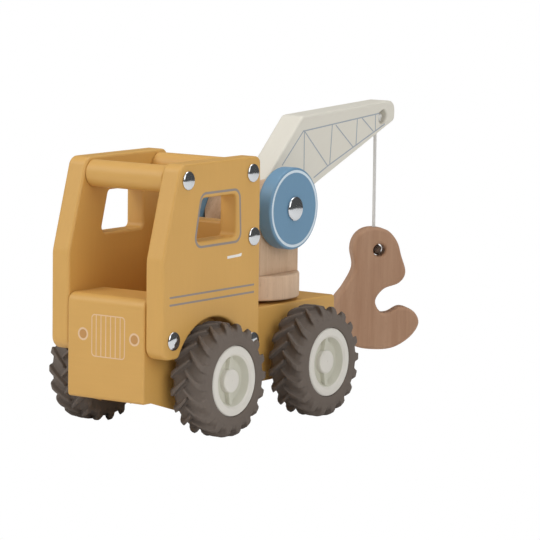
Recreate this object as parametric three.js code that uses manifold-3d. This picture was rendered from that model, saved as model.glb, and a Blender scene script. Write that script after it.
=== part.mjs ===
// Wooden toy crane truck: an open cab of screwed boards on a block chassis, four
// rubber-tyred wheels on two turning axles, a slewing turret, a luffing boom held
// between two discs, and a wooden hook on a knotted cord.
// Millimetres. X runs across the truck, Y from the nose to the boom's tip, Z up.

import * as THREE from 'three';
import { mergeVertices } from 'three/addons/utils/BufferGeometryUtils.js';
import Module from 'manifold-3d';

const wasm = await Module();
wasm.setup();

// ---------------------------------------------------------------- clearances
const glueGap = 0.1; // between pieces fixed to each other
const turnGap = 0.3; // round a piece that turns
const cutGap = 0.3; // round a piece that sits in a drilled or milled cut

// ---------------------------------------------------------------- wheels
const tyreRadius = 27.5;
const tyreWidth = 19.7;
const lugDepth = 2.4;
const lugCount = 18;
const lugSweep = THREE.MathUtils.degToRad(-11); // how far a lug runs round from shoulder to middle
const lugShoulder = 1.8; // how much lower a lug is at the tyre's side
const lugTopShare = 0.52; // a lug's width at its top and at its foot, as shares of the pitch
const lugFootShare = 0.72;
const rimRadius = 17;
const dishRadius = 12.2; // opening of the dish inside the rim's lip
const dishFloorRadius = 10.6;
const dishDepth = 4.2;
const bossRadius = 6.5; // inner boss that keeps the wheel off the chassis
const hubRadius = 5.9;
const hubSink = 1.6; // hub cap's face below the lip
const axleRadius = 3;
const wheelClearance = 4.1; // between the tyres and the chassis

// ---------------------------------------------------------------- chassis and cab
const noseOverhang = 0.8; // the nose's face, ahead of the panels
const noseDepth = 27;
const chassisDrop = 9.2; // the nose's and chassis's underside, below the axles
const noseHeight = 49.9;
const noseRound = 4.5; // roundover along the nose's top front edge
const chassisHalfWidth = 23.1; // nose, chassis and back wall share it
const chassisHeight = 37.2;
const chassisRear = 95;
const frontAxleY = -20.8;
const rearAxleY = 57.5;
const edgeSoftening = 0.8; // chamfer along the boards' edges

const panelThickness = 10.6;
const panelFrontLeg = 9.8; // least wood ahead of the wheel arch and behind it
const panelRearLeg = 7.6;
const slantDepth = 13.1; // how far the slanted front edge leans back
const cabHeight = 76.1; // the panels' top, above the deck
const kinkDrop = 44.4; // where the front edge starts to slant, below the panels' top
const panelFrontRise = 21.6; // the panels' bottom edges, above the chassis's underside
const panelRearRise = 15.7;
const archClearance = 1.9; // round the front tyres
const windowHeadDrop = 17; // below the panels' top
const windowHeight = 20.5;
const windowRearInset = 19; // the window's corners, from the panel's edges
const windowSillInset = 24.7;
const windowHeadInset = 17.3;

const barRadius = 6.5;
const barDrop = 7.8; // the bars' middle, below the panels' top
const frontBarInset = 5.4; // from the panels' top front corner
const rearBarInset = 6.8; // from their rear edge
const wallThickness = 9.7;
const wallHeight = 43.9; // the back wall's top, above the deck

const screwHeadRadius = 4.5;
const screwHeadHeight = 1.5;
const screwShankRadius = 2;
const screwGrip = 12; // length of shank beyond the panel
const noseScrewInset = 8; // from the panel's front edge
const noseScrewRise = 21.4; // above the axle
const wallScrewDrop = 6.4; // below the wall's top
const wallScrewForward = 0.7; // ahead of the middle of the wall's thickness
const chassisScrewInset = 5.5; // from the panel's rear edge
const chassisScrewRise = 14.5; // above the axle

// ---------------------------------------------------------------- turret
const turretY = 54.6;
const slewWasherRadius = 13;
const slewWasherThickness = 1.5;
const turntableRadius = 24.2;
const turntableThickness = 12.5;
const forkRadius = 23.4;
const forkHalfWidth = 17.3; // flats on the fork's two sides
const forkShoulderDrop = 18.3; // where the fork starts to narrow, below the pivot
const forkTopRadius = 13.2;
const pivotRise = 46.8; // above the deck
const slewScrewRadius = 2.5;
const slewScrewHeadRadius = 5.5;
const slewScrewHeadHeight = 3;
const slewScrewSink = 3.8; // depth of the counterbore in the floor of the fork's slot
const slewScrewInChassis = 18; // length of the screw inside the chassis

// ---------------------------------------------------------------- boom
const boomThickness = 13.5;
const boomEndRadius = 10.1; // round lower end about the pivot
const boomSlope = THREE.MathUtils.degToRad(21.9); // underside, up towards the tip
const boomBackSlope = THREE.MathUtils.degToRad(43.6); // back edge, from the pivot to the knee
const boomBackOffset = 7.6; // the back edge's distance from the pivot
const boomKneeRise = 42.6; // above the pivot
const boomReach = 116.4; // from the pivot to the tip's end, along Y
const boomTipDepth = 10.393; // from the underside to the top, at the tip's end
const boomAxleRadius = 5;
const discRadius = 20.3;
const discThickness = 8.8;
const discRound = 1.8;
const discBoreFloor = 3; // wood left between the axle's end and the disc's outer face
const discBoltHeadRadius = 6.1;
const discBoltHeadHeight = 2;
const discBoltShankRadius = 2;
const discBoltGrip = 10;
const tipHoleInset = 11.4; // from the tip's end
const tipHoleDrop = 8.2; // below the tip's top
const tipHoleRadius = 3.75;

// ---------------------------------------------------------------- cord and hook
const cordRadius = 0.85;
const cordForward = 2.7; // the cord's channel, beyond the tip hole's middle
const cordChannelRadius = 1.5;
const cordStart = 1.9; // first of the cord below the boom's underside
const bendLength = 3; // the cord's first stretch, which bends to hang plumb
const bendGap = 0.5; // below it, so that the cord's square end clears it as it swings
const topKnotRadius = 2.6;
const hookKnotRadius = 1.9;
const hookKnotSide = 1.3; // the knot's place in the hook's hole, from the cord
const hookKnotDrop = 0.2; // and below the hole's middle
const topKnotForward = 0.6; // the boom knot's place beyond the tip hole's middle
const hookThickness = 9;
const hookTurn = THREE.MathUtils.degToRad(51); // how the hook hangs, about the cord
const hookHoleRadius = 3.2;
const hookHoleSide = 2.3; // the hole's distance from the cord
const hookHoleHeight = 70.1;
const hookTop = 82.2;
const hookSoftening = 1.2;

// ---------------------------------------------------------------- levels and places
const axleHeight = tyreRadius;
const wheelFace = chassisHalfWidth + wheelClearance + tyreWidth;
const archRadius = tyreRadius + archClearance;
const panelFront = frontAxleY - archRadius - panelFrontLeg;
const panelRear = frontAxleY + archRadius + panelRearLeg;
const panelTopFront = panelFront + slantDepth;
const noseFront = panelFront - noseOverhang;
const noseBottom = axleHeight - chassisDrop;
const noseTop = noseBottom + noseHeight;
const deckTop = noseBottom + chassisHeight;
const panelTop = deckTop + cabHeight;
const panelFrontBottom = noseBottom + panelFrontRise;
const panelRearBottom = noseBottom + panelRearRise;
const kinkHeight = panelTop - kinkDrop;
const windowHead = panelTop - windowHeadDrop;
const windowSill = windowHead - windowHeight;
const windowRear = panelRear - windowRearInset;
const windowFrontSill = panelFront + windowSillInset;
const windowFrontHead = panelTopFront + windowHeadInset;
const barHeight = panelTop - barDrop;
const frontBarY = panelTopFront + frontBarInset;
const rearBarY = panelRear - rearBarInset;
const wallTop = deckTop + wallHeight;
const pivotHeight = deckTop + pivotRise;
const forkShoulder = pivotHeight - forkShoulderDrop;
const boomKneeHeight = pivotHeight + boomKneeRise;
const boomTipY = turretY + boomReach;
const boomTipTop = undersideHeight(boomTipY) + boomTipDepth;
const tipHoleY = boomTipY - tipHoleInset;
const tipHoleHeight = boomTipTop - tipHoleDrop;
const cordY = tipHoleY + cordForward;

// The height of the boom's underside at a place along Y.
function undersideHeight(y) {
  const drop = boomEndRadius / Math.cos(boomSlope);
  return pivotHeight - drop + (y - turretY) * Math.tan(boomSlope);
}

// ---------------------------------------------------------------- finishes
const yellowPaint = { color: 0xd4a862, roughness: 0.55, metalness: 0 };
const creamPaint = { color: 0xd8d2c6, roughness: 0.5, metalness: 0 };
const bluePaint = { color: 0x6f97b3, roughness: 0.5, metalness: 0 };
const rawBeech = { color: 0xc9a788, roughness: 0.65, metalness: 0 };
const brownStain = { color: 0xa8856a, roughness: 0.6, metalness: 0 };
const rubber = { color: 0x655a52, roughness: 0.85, metalness: 0 };
const ivoryPlastic = { color: 0xcfcabb, roughness: 0.45, metalness: 0 };
const chrome = { color: 0xc8c8ca, roughness: 0.15, metalness: 1 };
const steel = { color: 0x9a9a9c, roughness: 0.35, metalness: 1 };
const whiteCord = { color: 0xd8d6d0, roughness: 0.9, metalness: 0 };

// ---------------------------------------------------------------- geometry helpers
const alongX = new THREE.Matrix4().makeBasis(
  new THREE.Vector3(0, 1, 0),
  new THREE.Vector3(0, 0, 1),
  new THREE.Vector3(1, 0, 0),
);
const latheAlongX = new THREE.Matrix4().makeBasis(
  new THREE.Vector3(0, 0, 1),
  new THREE.Vector3(1, 0, 0),
  new THREE.Vector3(0, 1, 0),
);
const latheAlongZ = new THREE.Matrix4().makeRotationX(Math.PI / 2);

// A closed outline through [a, b, radius] corners; a corner without a radius stays sharp.
function roundedOutline(corners) {
  const shape = new THREE.Shape();
  corners.forEach(([a, b, radius = 0], i) => {
    const before = corners[(i + corners.length - 1) % corners.length];
    const after = corners[(i + 1) % corners.length];
    const toBefore = new THREE.Vector2(before[0] - a, before[1] - b).normalize();
    const toAfter = new THREE.Vector2(after[0] - a, after[1] - b).normalize();
    const opening = Math.acos(THREE.MathUtils.clamp(toBefore.dot(toAfter), -1, 1));
    const reach = radius / Math.tan(opening / 2);
    const start = [a + toBefore.x * reach, b + toBefore.y * reach];
    if (i === 0) shape.moveTo(...start);
    else shape.lineTo(...start);
    if (radius > 0) shape.quadraticCurveTo(a, b, a + toAfter.x * reach, b + toAfter.y * reach);
  });
  shape.closePath();
  return shape;
}

// Points along an arc, both ends included.
function arcPoints(a, b, radius, from, to, steps) {
  return Array.from({ length: steps + 1 }, (_, i) => {
    const angle = from + ((to - from) * i) / steps;
    return [a + radius * Math.cos(angle), b + radius * Math.sin(angle)];
  });
}

// A hole whose flats, not its corners, are at the radius.
function roundHole(a, b, radius, segments = 16) {
  const reach = radius / Math.cos(Math.PI / segments);
  const points = Array.from({ length: segments }, (_, i) => {
    const angle = (-2 * Math.PI * i) / segments;
    return new THREE.Vector2(a + reach * Math.cos(angle), b + reach * Math.sin(angle));
  });
  return new THREE.Path(points);
}

// A board: the outline is in Y and Z, and the thickness runs along X from xLow.
function board(outline, xLow, thickness, softening) {
  const geometry = new THREE.ExtrudeGeometry(outline, {
    depth: thickness - 2 * softening,
    bevelEnabled: softening > 0,
    bevelThickness: softening,
    bevelSize: softening,
    bevelOffset: -softening,
    bevelSegments: 1,
    curveSegments: 3,
  });
  geometry.translate(0, 0, softening);
  geometry.applyMatrix4(alongX);
  return geometry.translate(xLow, 0, 0);
}

// A turned piece about X or Z; the profile is [radius, distance along the axis] pairs.
function turned(profile, segments, axis) {
  const points = profile.map(([radius, along]) => new THREE.Vector2(radius, along));
  const geometry = new THREE.LatheGeometry(points, segments);
  return geometry.applyMatrix4(axis);
}

// A plain rod between two places on its axis.
function rod(radius, from, to, segments, axis) {
  return turned([[0, from], [radius, from], [radius, to], [0, to]], segments, axis);
}

function solid(geometry) {
  const bare = geometry.clone();
  bare.deleteAttribute('normal');
  bare.deleteAttribute('uv');
  const merged = mergeVertices(bare, 1e-4);
  const vertProperties = new Float32Array(merged.attributes.position.array);
  const triVerts = new Uint32Array(dropSlivers(merged.index.array));
  return new wasm.Manifold(new wasm.Mesh({ numProp: 3, vertProperties, triVerts }));
}

// Triangles whose corners merged into one another, as at a lathe's pole, are left out.
function dropSlivers(index) {
  const kept = [];
  for (let i = 0; i < index.length; i += 3) {
    const [a, b, c] = [index[i], index[i + 1], index[i + 2]];
    if (a !== b && b !== c && c !== a) kept.push(a, b, c);
  }
  return kept;
}

function geometryOf(manifold) {
  const mesh = manifold.getMesh();
  const geometry = new THREE.BufferGeometry();
  const corners = new Float32Array(mesh.vertProperties);
  geometry.setAttribute('position', new THREE.BufferAttribute(corners, 3));
  geometry.setIndex(new THREE.BufferAttribute(new Uint32Array(mesh.triVerts), 1));
  return geometry;
}

function cut(geometry, ...tools) {
  return geometryOf(tools.reduce((left, tool) => left.subtract(solid(tool)), solid(geometry)));
}

const group = new THREE.Group();

function place(name, geometry, finish, parent = group) {
  const mesh = new THREE.Mesh(geometry, new THREE.MeshStandardMaterial(finish));
  mesh.name = name;
  parent.add(mesh);
  return mesh;
}

// The same geometry on the other side of the truck.
function mirroredAcross(geometry) {
  const mirrored = geometry.clone().scale(-1, 1, 1);
  const index = mirrored.index
    ? Array.from(mirrored.index.array)
    : Array.from({ length: mirrored.attributes.position.count }, (_, i) => i);
  for (let i = 0; i < index.length; i += 3) {
    [index[i + 1], index[i + 2]] = [index[i + 2], index[i + 1]];
  }
  mirrored.setIndex(index);
  return mirrored;
}

// ---------------------------------------------------------------- cab and chassis
const panelInner = chassisHalfWidth + glueGap;
const panelOuter = panelInner + panelThickness;
const sides = [['right', 1], ['left', -1]];
const screwPlaces = {
  front_bar: [frontBarY, barHeight],
  rear_bar: [rearBarY, barHeight],
  wall: [panelRear - wallThickness / 2 - wallScrewForward, wallTop - wallScrewDrop],
  nose: [panelFront + noseScrewInset, axleHeight + noseScrewRise],
  chassis: [panelRear - chassisScrewInset, axleHeight + chassisScrewRise],
};

// The two holes, one from each side, that a screw at (y, z) goes into.
function pilotHoles([y, z]) {
  const floor = chassisHalfWidth - screwGrip - cutGap;
  const hole = rod(screwShankRadius + cutGap, floor, chassisHalfWidth + 1, 10, latheAlongX);
  hole.translate(0, y, z);
  return [hole, mirroredAcross(hole)];
}

function panelGeometry() {
  const frontMeet = Math.PI - Math.asin((panelFrontBottom - axleHeight) / archRadius);
  const rearMeet = Math.asin((panelRearBottom - axleHeight) / archRadius);
  const arch = arcPoints(frontAxleY, axleHeight, archRadius, frontMeet, rearMeet, 12);
  const [archStart, archEnd] = [arch[0], arch[arch.length - 1]];
  const outline = roundedOutline([
    [panelFront, panelFrontBottom, 6],
    [...archStart, 3],
    ...arch.slice(1, -1),
    [...archEnd, 1.5],
    [panelRear, panelRearBottom, 3],
    [panelRear, panelTop, 4],
    [panelTopFront, panelTop, 5.5],
    [panelFront, kinkHeight, 12],
  ]);
  outline.holes.push(roundedOutline([
    [windowFrontSill, windowSill, 3],
    [windowFrontHead, windowHead, 2.5],
    [windowRear, windowHead, 2.5],
    [windowRear, windowSill, 2.5],
  ]));
  for (const [y, z] of Object.values(screwPlaces)) {
    outline.holes.push(roundHole(y, z, screwShankRadius + cutGap, 8));
  }
  return board(outline, panelInner, panelThickness, edgeSoftening);
}

function noseGeometry() {
  const rear = noseFront + noseDepth;
  const outline = roundedOutline([
    [noseFront, noseBottom, 1.2],
    [rear, noseBottom],
    [rear, noseTop, 1.5],
    [noseFront, noseTop, noseRound],
  ]);
  const block = board(outline, -chassisHalfWidth, 2 * chassisHalfWidth, edgeSoftening);
  return cut(block, ...pilotHoles(screwPlaces.nose));
}

function chassisGeometry() {
  const front = noseFront + noseDepth + glueGap;
  const outline = roundedOutline([
    [front, noseBottom],
    [chassisRear, noseBottom, 1.5],
    [chassisRear, deckTop, 2],
    [front, deckTop],
  ]);
  for (const y of [frontAxleY, rearAxleY]) {
    outline.holes.push(roundHole(y, tyreRadius, axleRadius + turnGap, 20));
  }
  const block = board(outline, -chassisHalfWidth, 2 * chassisHalfWidth, edgeSoftening);
  const screwEnd = deckTop - slewScrewInChassis - cutGap;
  const screwHole = rod(slewScrewRadius + cutGap, screwEnd, deckTop + 1, 20, latheAlongZ);
  screwHole.translate(0, turretY, 0);
  return cut(block, screwHole, ...pilotHoles(screwPlaces.chassis));
}

function wallGeometry() {
  const outline = roundedOutline([
    [panelRear - wallThickness, deckTop + glueGap],
    [panelRear, deckTop + glueGap],
    [panelRear, wallTop, 1.2],
    [panelRear - wallThickness, wallTop, 1.2],
  ]);
  const wall = board(outline, -chassisHalfWidth, 2 * chassisHalfWidth, edgeSoftening);
  return cut(wall, ...pilotHoles(screwPlaces.wall));
}

function barGeometry() {
  const end = chassisHalfWidth;
  const floor = end - screwGrip - cutGap;
  const bore = screwShankRadius + cutGap;
  return turned([
    [0, -floor], [bore, -floor], [bore, -end], [barRadius, -end],
    [barRadius, end], [bore, end], [bore, floor], [0, floor],
  ], 22, latheAlongX);
}

function screwGeometry() {
  const seat = panelOuter + glueGap;
  const dome = [0.9, 0.55].map((share) => [
    screwHeadRadius * share,
    seat + 0.4 + (screwHeadHeight - 0.4) * Math.sqrt(1 - share * share),
  ]);
  return turned([
    [0, chassisHalfWidth - screwGrip],
    [screwShankRadius, chassisHalfWidth - screwGrip],
    [screwShankRadius, seat],
    [screwHeadRadius, seat],
    [screwHeadRadius, seat + 0.4],
    ...dome,
    [0, seat + screwHeadHeight],
  ], 12, latheAlongX);
}

place('nose_block', noseGeometry(), yellowPaint);
place('chassis_block', chassisGeometry(), yellowPaint);
place('back_wall', wallGeometry(), yellowPaint);
place('front_roof_bar', barGeometry(), yellowPaint).position.set(0, frontBarY, barHeight);
place('rear_roof_bar', barGeometry(), yellowPaint).position.set(0, rearBarY, barHeight);

for (const [sideName, side] of sides) {
  const panel = panelGeometry();
  place(`side_panel_${sideName}`, side > 0 ? panel : mirroredAcross(panel), yellowPaint);
  for (const [screwName, [y, z]] of Object.entries(screwPlaces)) {
    const screw = side > 0 ? screwGeometry() : mirroredAcross(screwGeometry());
    place(`${screwName}_screw_${sideName}`, screw, chrome).position.set(0, y, z);
  }
}

// ---------------------------------------------------------------- wheels
const wheelInner = wheelFace - tyreWidth;

// V-shaped lugs: a toothed ring whose middle is turned against its two sides. The left
// wheels are the same wheels turned about, so their lugs point the other way.
function tyreGeometry() {
  const pitch = (2 * Math.PI) / lugCount;
  const grooveRadius = tyreRadius - lugDepth;
  const halfTop = (lugTopShare * pitch) / 2;
  const halfFoot = (lugFootShare * pitch) / 2;
  const points = [];
  for (let i = 0; i < lugCount; i += 1) {
    const middle = i * pitch + Math.PI / 2;
    const corners = [
      [grooveRadius, middle - halfFoot],
      [tyreRadius, middle - halfTop],
      [tyreRadius, middle + halfTop],
      [grooveRadius, middle + halfFoot],
    ];
    for (const [radius, angle] of corners) {
      points.push(new THREE.Vector2(radius * Math.cos(angle), radius * Math.sin(angle)));
    }
  }
  const teeth = new THREE.Shape(points);
  teeth.holes.push(roundHole(0, 0, rimRadius + glueGap, 24));
  const geometry = new THREE.ExtrudeGeometry(teeth, { depth: tyreWidth, steps: 4, bevelEnabled: false });
  const position = geometry.attributes.position;
  for (let i = 0; i < position.count; i += 1) {
    const [x, y, z] = [position.getX(i), position.getY(i), position.getZ(i)];
    const radius = Math.hypot(x, y);
    if (radius < rimRadius + 1) continue;
    const fromMiddle = Math.abs((2 * z) / tyreWidth - 1);
    const turn = lugSweep * (1 - fromMiddle);
    const scale = fromMiddle > 0.9 ? 1 - lugShoulder / tyreRadius : 1;
    const [c, s] = [Math.cos(turn) * scale, Math.sin(turn) * scale];
    position.setXY(i, c * x - s * y, s * x + c * y);
  }
  return geometry.applyMatrix4(alongX).translate(wheelInner, 0, 0);
}

function rimGeometry() {
  const bore = axleRadius + glueGap;
  const floor = wheelFace - dishDepth;
  const bossEnd = chassisHalfWidth + turnGap;
  return turned([
    [bore, bossEnd],
    [bossRadius, bossEnd],
    [bossRadius, wheelInner + 1.2],
    [rimRadius, wheelInner + 0.6],
    [rimRadius, wheelFace - 0.6],
    [rimRadius - 0.6, wheelFace],
    [dishRadius + 0.8, wheelFace - 0.3],
    [dishRadius, wheelFace - 1],
    [dishFloorRadius, floor],
    [bore, floor],
    [bore, bossEnd],
  ], 24, latheAlongX);
}

const axleEnd = wheelFace - dishDepth + 1.4;

function hubCapGeometry() {
  const seat = wheelFace - dishDepth + glueGap;
  const face = wheelFace - hubSink;
  return turned([
    [0, axleEnd + glueGap],
    [axleRadius + glueGap, axleEnd + glueGap],
    [axleRadius + glueGap, seat],
    [hubRadius, seat],
    [hubRadius, face - 0.5],
    [hubRadius - 0.7, face],
    [0, face],
  ], 16, latheAlongX);
}

for (const [axleName, y] of [['front', frontAxleY], ['rear', rearAxleY]]) {
  const axle = new THREE.Group();
  axle.position.set(0, y, tyreRadius);
  group.add(axle);
  place(`${axleName}_axle_rod`, rod(axleRadius, -axleEnd, axleEnd, 20, latheAlongX), steel, axle);
  for (const [sideName, side] of sides) {
    const facing = (geometry) => (side > 0 ? geometry : geometry.rotateZ(Math.PI));
    place(`${axleName}_tyre_${sideName}`, facing(tyreGeometry()), rubber, axle);
    place(`${axleName}_rim_${sideName}`, facing(rimGeometry()), ivoryPlastic, axle);
    place(`${axleName}_hub_cap_${sideName}`, facing(hubCapGeometry()), ivoryPlastic, axle);
  }
}

// ---------------------------------------------------------------- turret
const turntableBottom = deckTop + slewWasherThickness;
const forkBottom = turntableBottom + turntableThickness + glueGap;
const slotHalfWidth = boomThickness / 2 + turnGap;
const slotFloor = pivotHeight - boomEndRadius - 2;

function ring(outer, inner, bottom, top, softening, segments) {
  return turned([
    [inner, bottom],
    [outer - softening, bottom],
    [outer, bottom + softening],
    [outer, top - softening],
    [outer - softening, top],
    [inner, top],
    [inner, bottom],
  ], segments, latheAlongZ);
}

function forkGeometry() {
  const drum = turned([
    [0, forkBottom],
    [forkRadius - 0.7, forkBottom],
    [forkRadius, forkBottom + 0.7],
    [forkRadius, pivotHeight + forkTopRadius + 1],
    [0, pivotHeight + forkTopRadius + 1],
  ], 40, latheAlongZ);
  const lean = Math.atan2(forkRadius - forkTopRadius, pivotHeight - forkShoulder);
  const top = arcPoints(0, pivotHeight, forkTopRadius, lean / 2, Math.PI - lean / 2, 14);
  const flank = forkRadius + 1;
  const outline = roundedOutline([
    [-flank, forkBottom - 1],
    [flank, forkBottom - 1],
    [flank, forkShoulder],
    ...top,
    [-flank, forkShoulder],
  ]);
  const sheath = board(outline, -forkHalfWidth, 2 * forkHalfWidth, 0);
  const slot = new THREE.BoxGeometry(2 * slotHalfWidth, 4 * forkRadius, 2 * forkRadius);
  slot.translate(0, 0, slotFloor + forkRadius);
  const axleHole = rod(boomAxleRadius + turnGap, -forkRadius, forkRadius, 24, latheAlongX);
  axleHole.translate(0, 0, pivotHeight);
  const screwHole = rod(slewScrewRadius + turnGap, forkBottom - 1, slotFloor + 1, 20, latheAlongZ);
  const headReach = slewScrewHeadRadius + turnGap;
  const headHole = rod(headReach, slotFloor - slewScrewSink, slotFloor + 1, 20, latheAlongZ);
  const body = solid(drum).intersect(solid(sheath));
  return geometryOf(
    [slot, axleHole, screwHole, headHole].reduce((left, tool) => left.subtract(solid(tool)), body),
  );
}

const turret = new THREE.Group();
turret.position.set(0, turretY, 0);
group.add(turret);

const slewBore = slewScrewRadius + turnGap;
const washer = ring(slewWasherRadius, slewBore, deckTop + glueGap, turntableBottom - glueGap, 0.2, 28);
place('slew_washer', washer, steel, turret);
const turntableTop = turntableBottom + turntableThickness;
const turntable = ring(turntableRadius, slewBore, turntableBottom, turntableTop, 0.8, 44);
place('turntable', turntable, rawBeech, turret);
place('turret_fork', forkGeometry(), rawBeech, turret);

const slewSeat = slotFloor - slewScrewSink + turnGap;
place('slew_screw', turned([
  [0, deckTop - slewScrewInChassis],
  [slewScrewRadius, deckTop - slewScrewInChassis],
  [slewScrewRadius, slewSeat],
  [slewScrewHeadRadius, slewSeat],
  [slewScrewHeadRadius, slewSeat + slewScrewHeadHeight],
  [0, slewSeat + slewScrewHeadHeight],
], 20, latheAlongZ), steel, turret);

// ---------------------------------------------------------------- boom
function boomGeometry() {
  const backNormal = boomBackSlope + Math.PI / 2;
  const backMeet = backNormal + Math.acos(boomBackOffset / boomEndRadius);
  const lowerMeet = boomSlope - Math.PI / 2 + 2 * Math.PI;
  const end = arcPoints(turretY, pivotHeight, boomEndRadius, backMeet, lowerMeet, 10);
  const backFoot = [
    turretY + boomBackOffset * Math.cos(backNormal),
    pivotHeight + boomBackOffset * Math.sin(backNormal),
  ];
  const kneeY = backFoot[0] + (boomKneeHeight - backFoot[1]) / Math.tan(boomBackSlope);
  const outline = roundedOutline([
    ...end,
    [boomTipY - 0.4, undersideHeight(boomTipY - 0.4), 3],
    [boomTipY, boomTipTop, 6],
    [kneeY, boomKneeHeight, 5],
  ]);
  outline.holes.push(roundHole(turretY, pivotHeight, boomAxleRadius + glueGap, 24));
  outline.holes.push(roundHole(tipHoleY, tipHoleHeight, tipHoleRadius, 20));
  const blank = board(outline, -boomThickness / 2, boomThickness, edgeSoftening);
  const channel = rod(cordChannelRadius, undersideHeight(cordY) - 3, tipHoleHeight, 12, latheAlongZ);
  return cut(blank, channel.translate(0, cordY, 0));
}

const discInner = forkHalfWidth + turnGap;
const discOuter = discInner + discThickness;

function discGeometry() {
  const bore = boomAxleRadius + glueGap;
  const axleTop = discOuter - discBoreFloor;
  return turned([
    [bore, discInner],
    [discRadius - discRound, discInner],
    [discRadius, discInner + discRound],
    [discRadius, discOuter - discRound],
    [discRadius - discRound * 0.3, discOuter - discRound * 0.3],
    [discRadius - discRound, discOuter],
    [discBoltShankRadius + glueGap, discOuter],
    [discBoltShankRadius + glueGap, axleTop],
    [bore, axleTop],
    [bore, discInner],
  ], 36, latheAlongX);
}

function boomAxleGeometry() {
  const end = discOuter - discBoreFloor - glueGap;
  const floor = discOuter - discBoreFloor - discBoltGrip - cutGap;
  const bore = discBoltShankRadius + glueGap;
  return turned([
    [0, -floor], [bore, -floor], [bore, -end], [boomAxleRadius, -end],
    [boomAxleRadius, end], [bore, end], [bore, floor], [0, floor],
  ], 24, latheAlongX);
}

function discBoltGeometry() {
  const seat = discOuter + glueGap;
  const tip = discOuter - discBoreFloor - discBoltGrip;
  const dome = [0.9, 0.55].map((share) => [
    discBoltHeadRadius * share,
    seat + 0.5 + (discBoltHeadHeight - 0.5) * Math.sqrt(1 - share * share),
  ]);
  return turned([
    [0, tip],
    [discBoltShankRadius, tip],
    [discBoltShankRadius, seat],
    [discBoltHeadRadius, seat],
    [discBoltHeadRadius, seat + 0.5],
    ...dome,
    [0, seat + discBoltHeadHeight],
  ], 16, latheAlongX);
}

place('boom', boomGeometry(), creamPaint);
place('boom_axle', boomAxleGeometry(), rawBeech).position.set(0, turretY, pivotHeight);
for (const [sideName, side] of sides) {
  const sided = (geometry) => (side > 0 ? geometry : mirroredAcross(geometry));
  place(`disc_${sideName}`, sided(discGeometry()), bluePaint).position.set(0, turretY, pivotHeight);
  place(`disc_bolt_${sideName}`, sided(discBoltGeometry()), chrome).position.set(0, turretY, pivotHeight);
}

// ---------------------------------------------------------------- cord and hook
const mouthHeight = undersideHeight(cordY);
const bendTop = mouthHeight - cordStart;
const cordTop = bendTop - bendLength - bendGap;
const hookKnotHeight = hookHoleHeight - hookKnotDrop;
const cordBottom = hookKnotHeight + hookKnotRadius + cutGap;

// The cord's straight route, from top to bottom, as a tube of eight sides.
function cordTube(top, bottom) {
  const section = new THREE.Shape(
    Array.from({ length: 8 }, (_, i) => {
      const angle = (i * Math.PI) / 4;
      return new THREE.Vector2(cordRadius * Math.cos(angle), cordRadius * Math.sin(angle));
    }),
  );
  const start = new THREE.Vector3(0, cordY, top);
  const end = new THREE.Vector3(0, cordY, bottom);
  const path = new THREE.LineCurve3(start, end);
  const steps = Math.max(1, Math.round((top - bottom) / (5 * cordRadius)));
  return new THREE.ExtrudeGeometry(section, { steps, extrudePath: path, bevelEnabled: false });
}

function knotGeometry(radius) {
  const profile = arcPoints(0, 0, radius, -Math.PI / 2, Math.PI / 2, 6);
  profile[0][0] = 0;
  profile[profile.length - 1][0] = 0;
  return turned(profile, 10, latheAlongZ);
}

// The hook's outline: distance from the cord, and height.
const hookOutline = [
  [-0.4, hookTop], [-6.6, 81], [-10.9, 76.8], [-12.4, 70.6], [-11.2, 61.2], [-16.2, 51.6],
  [-20.9, 45.4], [-22.6, 38], [-19.6, 27.6], [-10.4, 19.8], [1.6, 17.7], [11.4, 18.8],
  [20.2, 24.2], [24.5, 31.1], [21.9, 37.2], [15, 40.2], [8.2, 37.3], [3.3, 37.8], [0.6, 43.5],
  [5, 49.5], [13.4, 52.6], [16.9, 58.2], [14.4, 67.2], [12.2, 74.3], [7.2, 80.2],
];

function hookGeometry() {
  const points = hookOutline.map(([side, height]) => new THREE.Vector2(side, height));
  const closed = new THREE.SplineCurve([...points.slice(-2), ...points, ...points.slice(0, 2)]);
  const spans = points.length + 3;
  const perSpan = 2;
  const smooth = [];
  for (let i = 0; i < points.length * perSpan; i += 1) {
    smooth.push(closed.getPoint((2 + i / perSpan) / spans));
  }
  const outline = new THREE.Shape(smooth);
  outline.holes.push(roundHole(hookHoleSide, hookHoleHeight, hookHoleRadius, 20));
  const blank = new THREE.ExtrudeGeometry(outline, {
    depth: hookThickness - 2 * hookSoftening,
    bevelThickness: hookSoftening,
    bevelSize: hookSoftening,
    bevelOffset: -hookSoftening,
    bevelSegments: 1,
  });
  blank.translate(0, 0, hookSoftening - hookThickness / 2);
  blank.rotateX(Math.PI / 2);
  const channel = rod(cordChannelRadius, hookHoleHeight, hookTop + 2, 12, latheAlongZ);
  return cut(blank, channel);
}

const boomKnot = place('boom_knot', knotGeometry(topKnotRadius), whiteCord);
boomKnot.position.set(0, tipHoleY + topKnotForward, tipHoleHeight);
place('cord_bend', cordTube(bendTop, bendTop - bendLength), whiteCord);
place('cord', cordTube(cordTop, cordBottom), whiteCord);

const hookGroup = new THREE.Group();
hookGroup.position.set(0, cordY, 0);
hookGroup.rotation.z = hookTurn;
group.add(hookGroup);
place('hook', hookGeometry(), brownStain, hookGroup);
const hookKnot = place('hook_knot', knotGeometry(hookKnotRadius), whiteCord, hookGroup);
hookKnot.position.set(hookKnotSide, 0, hookKnotHeight);

// ---------------------------------------------------------------- the part's own frame
// The origin is on the ground, at the middle of the truck's length and width.
group.updateMatrixWorld(true);
const bounds = new THREE.Box3().setFromObject(group, true);
group.position.y = -(bounds.min.y + bounds.max.y) / 2;
group.position.z = -bounds.min.z;

export default group;
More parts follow.
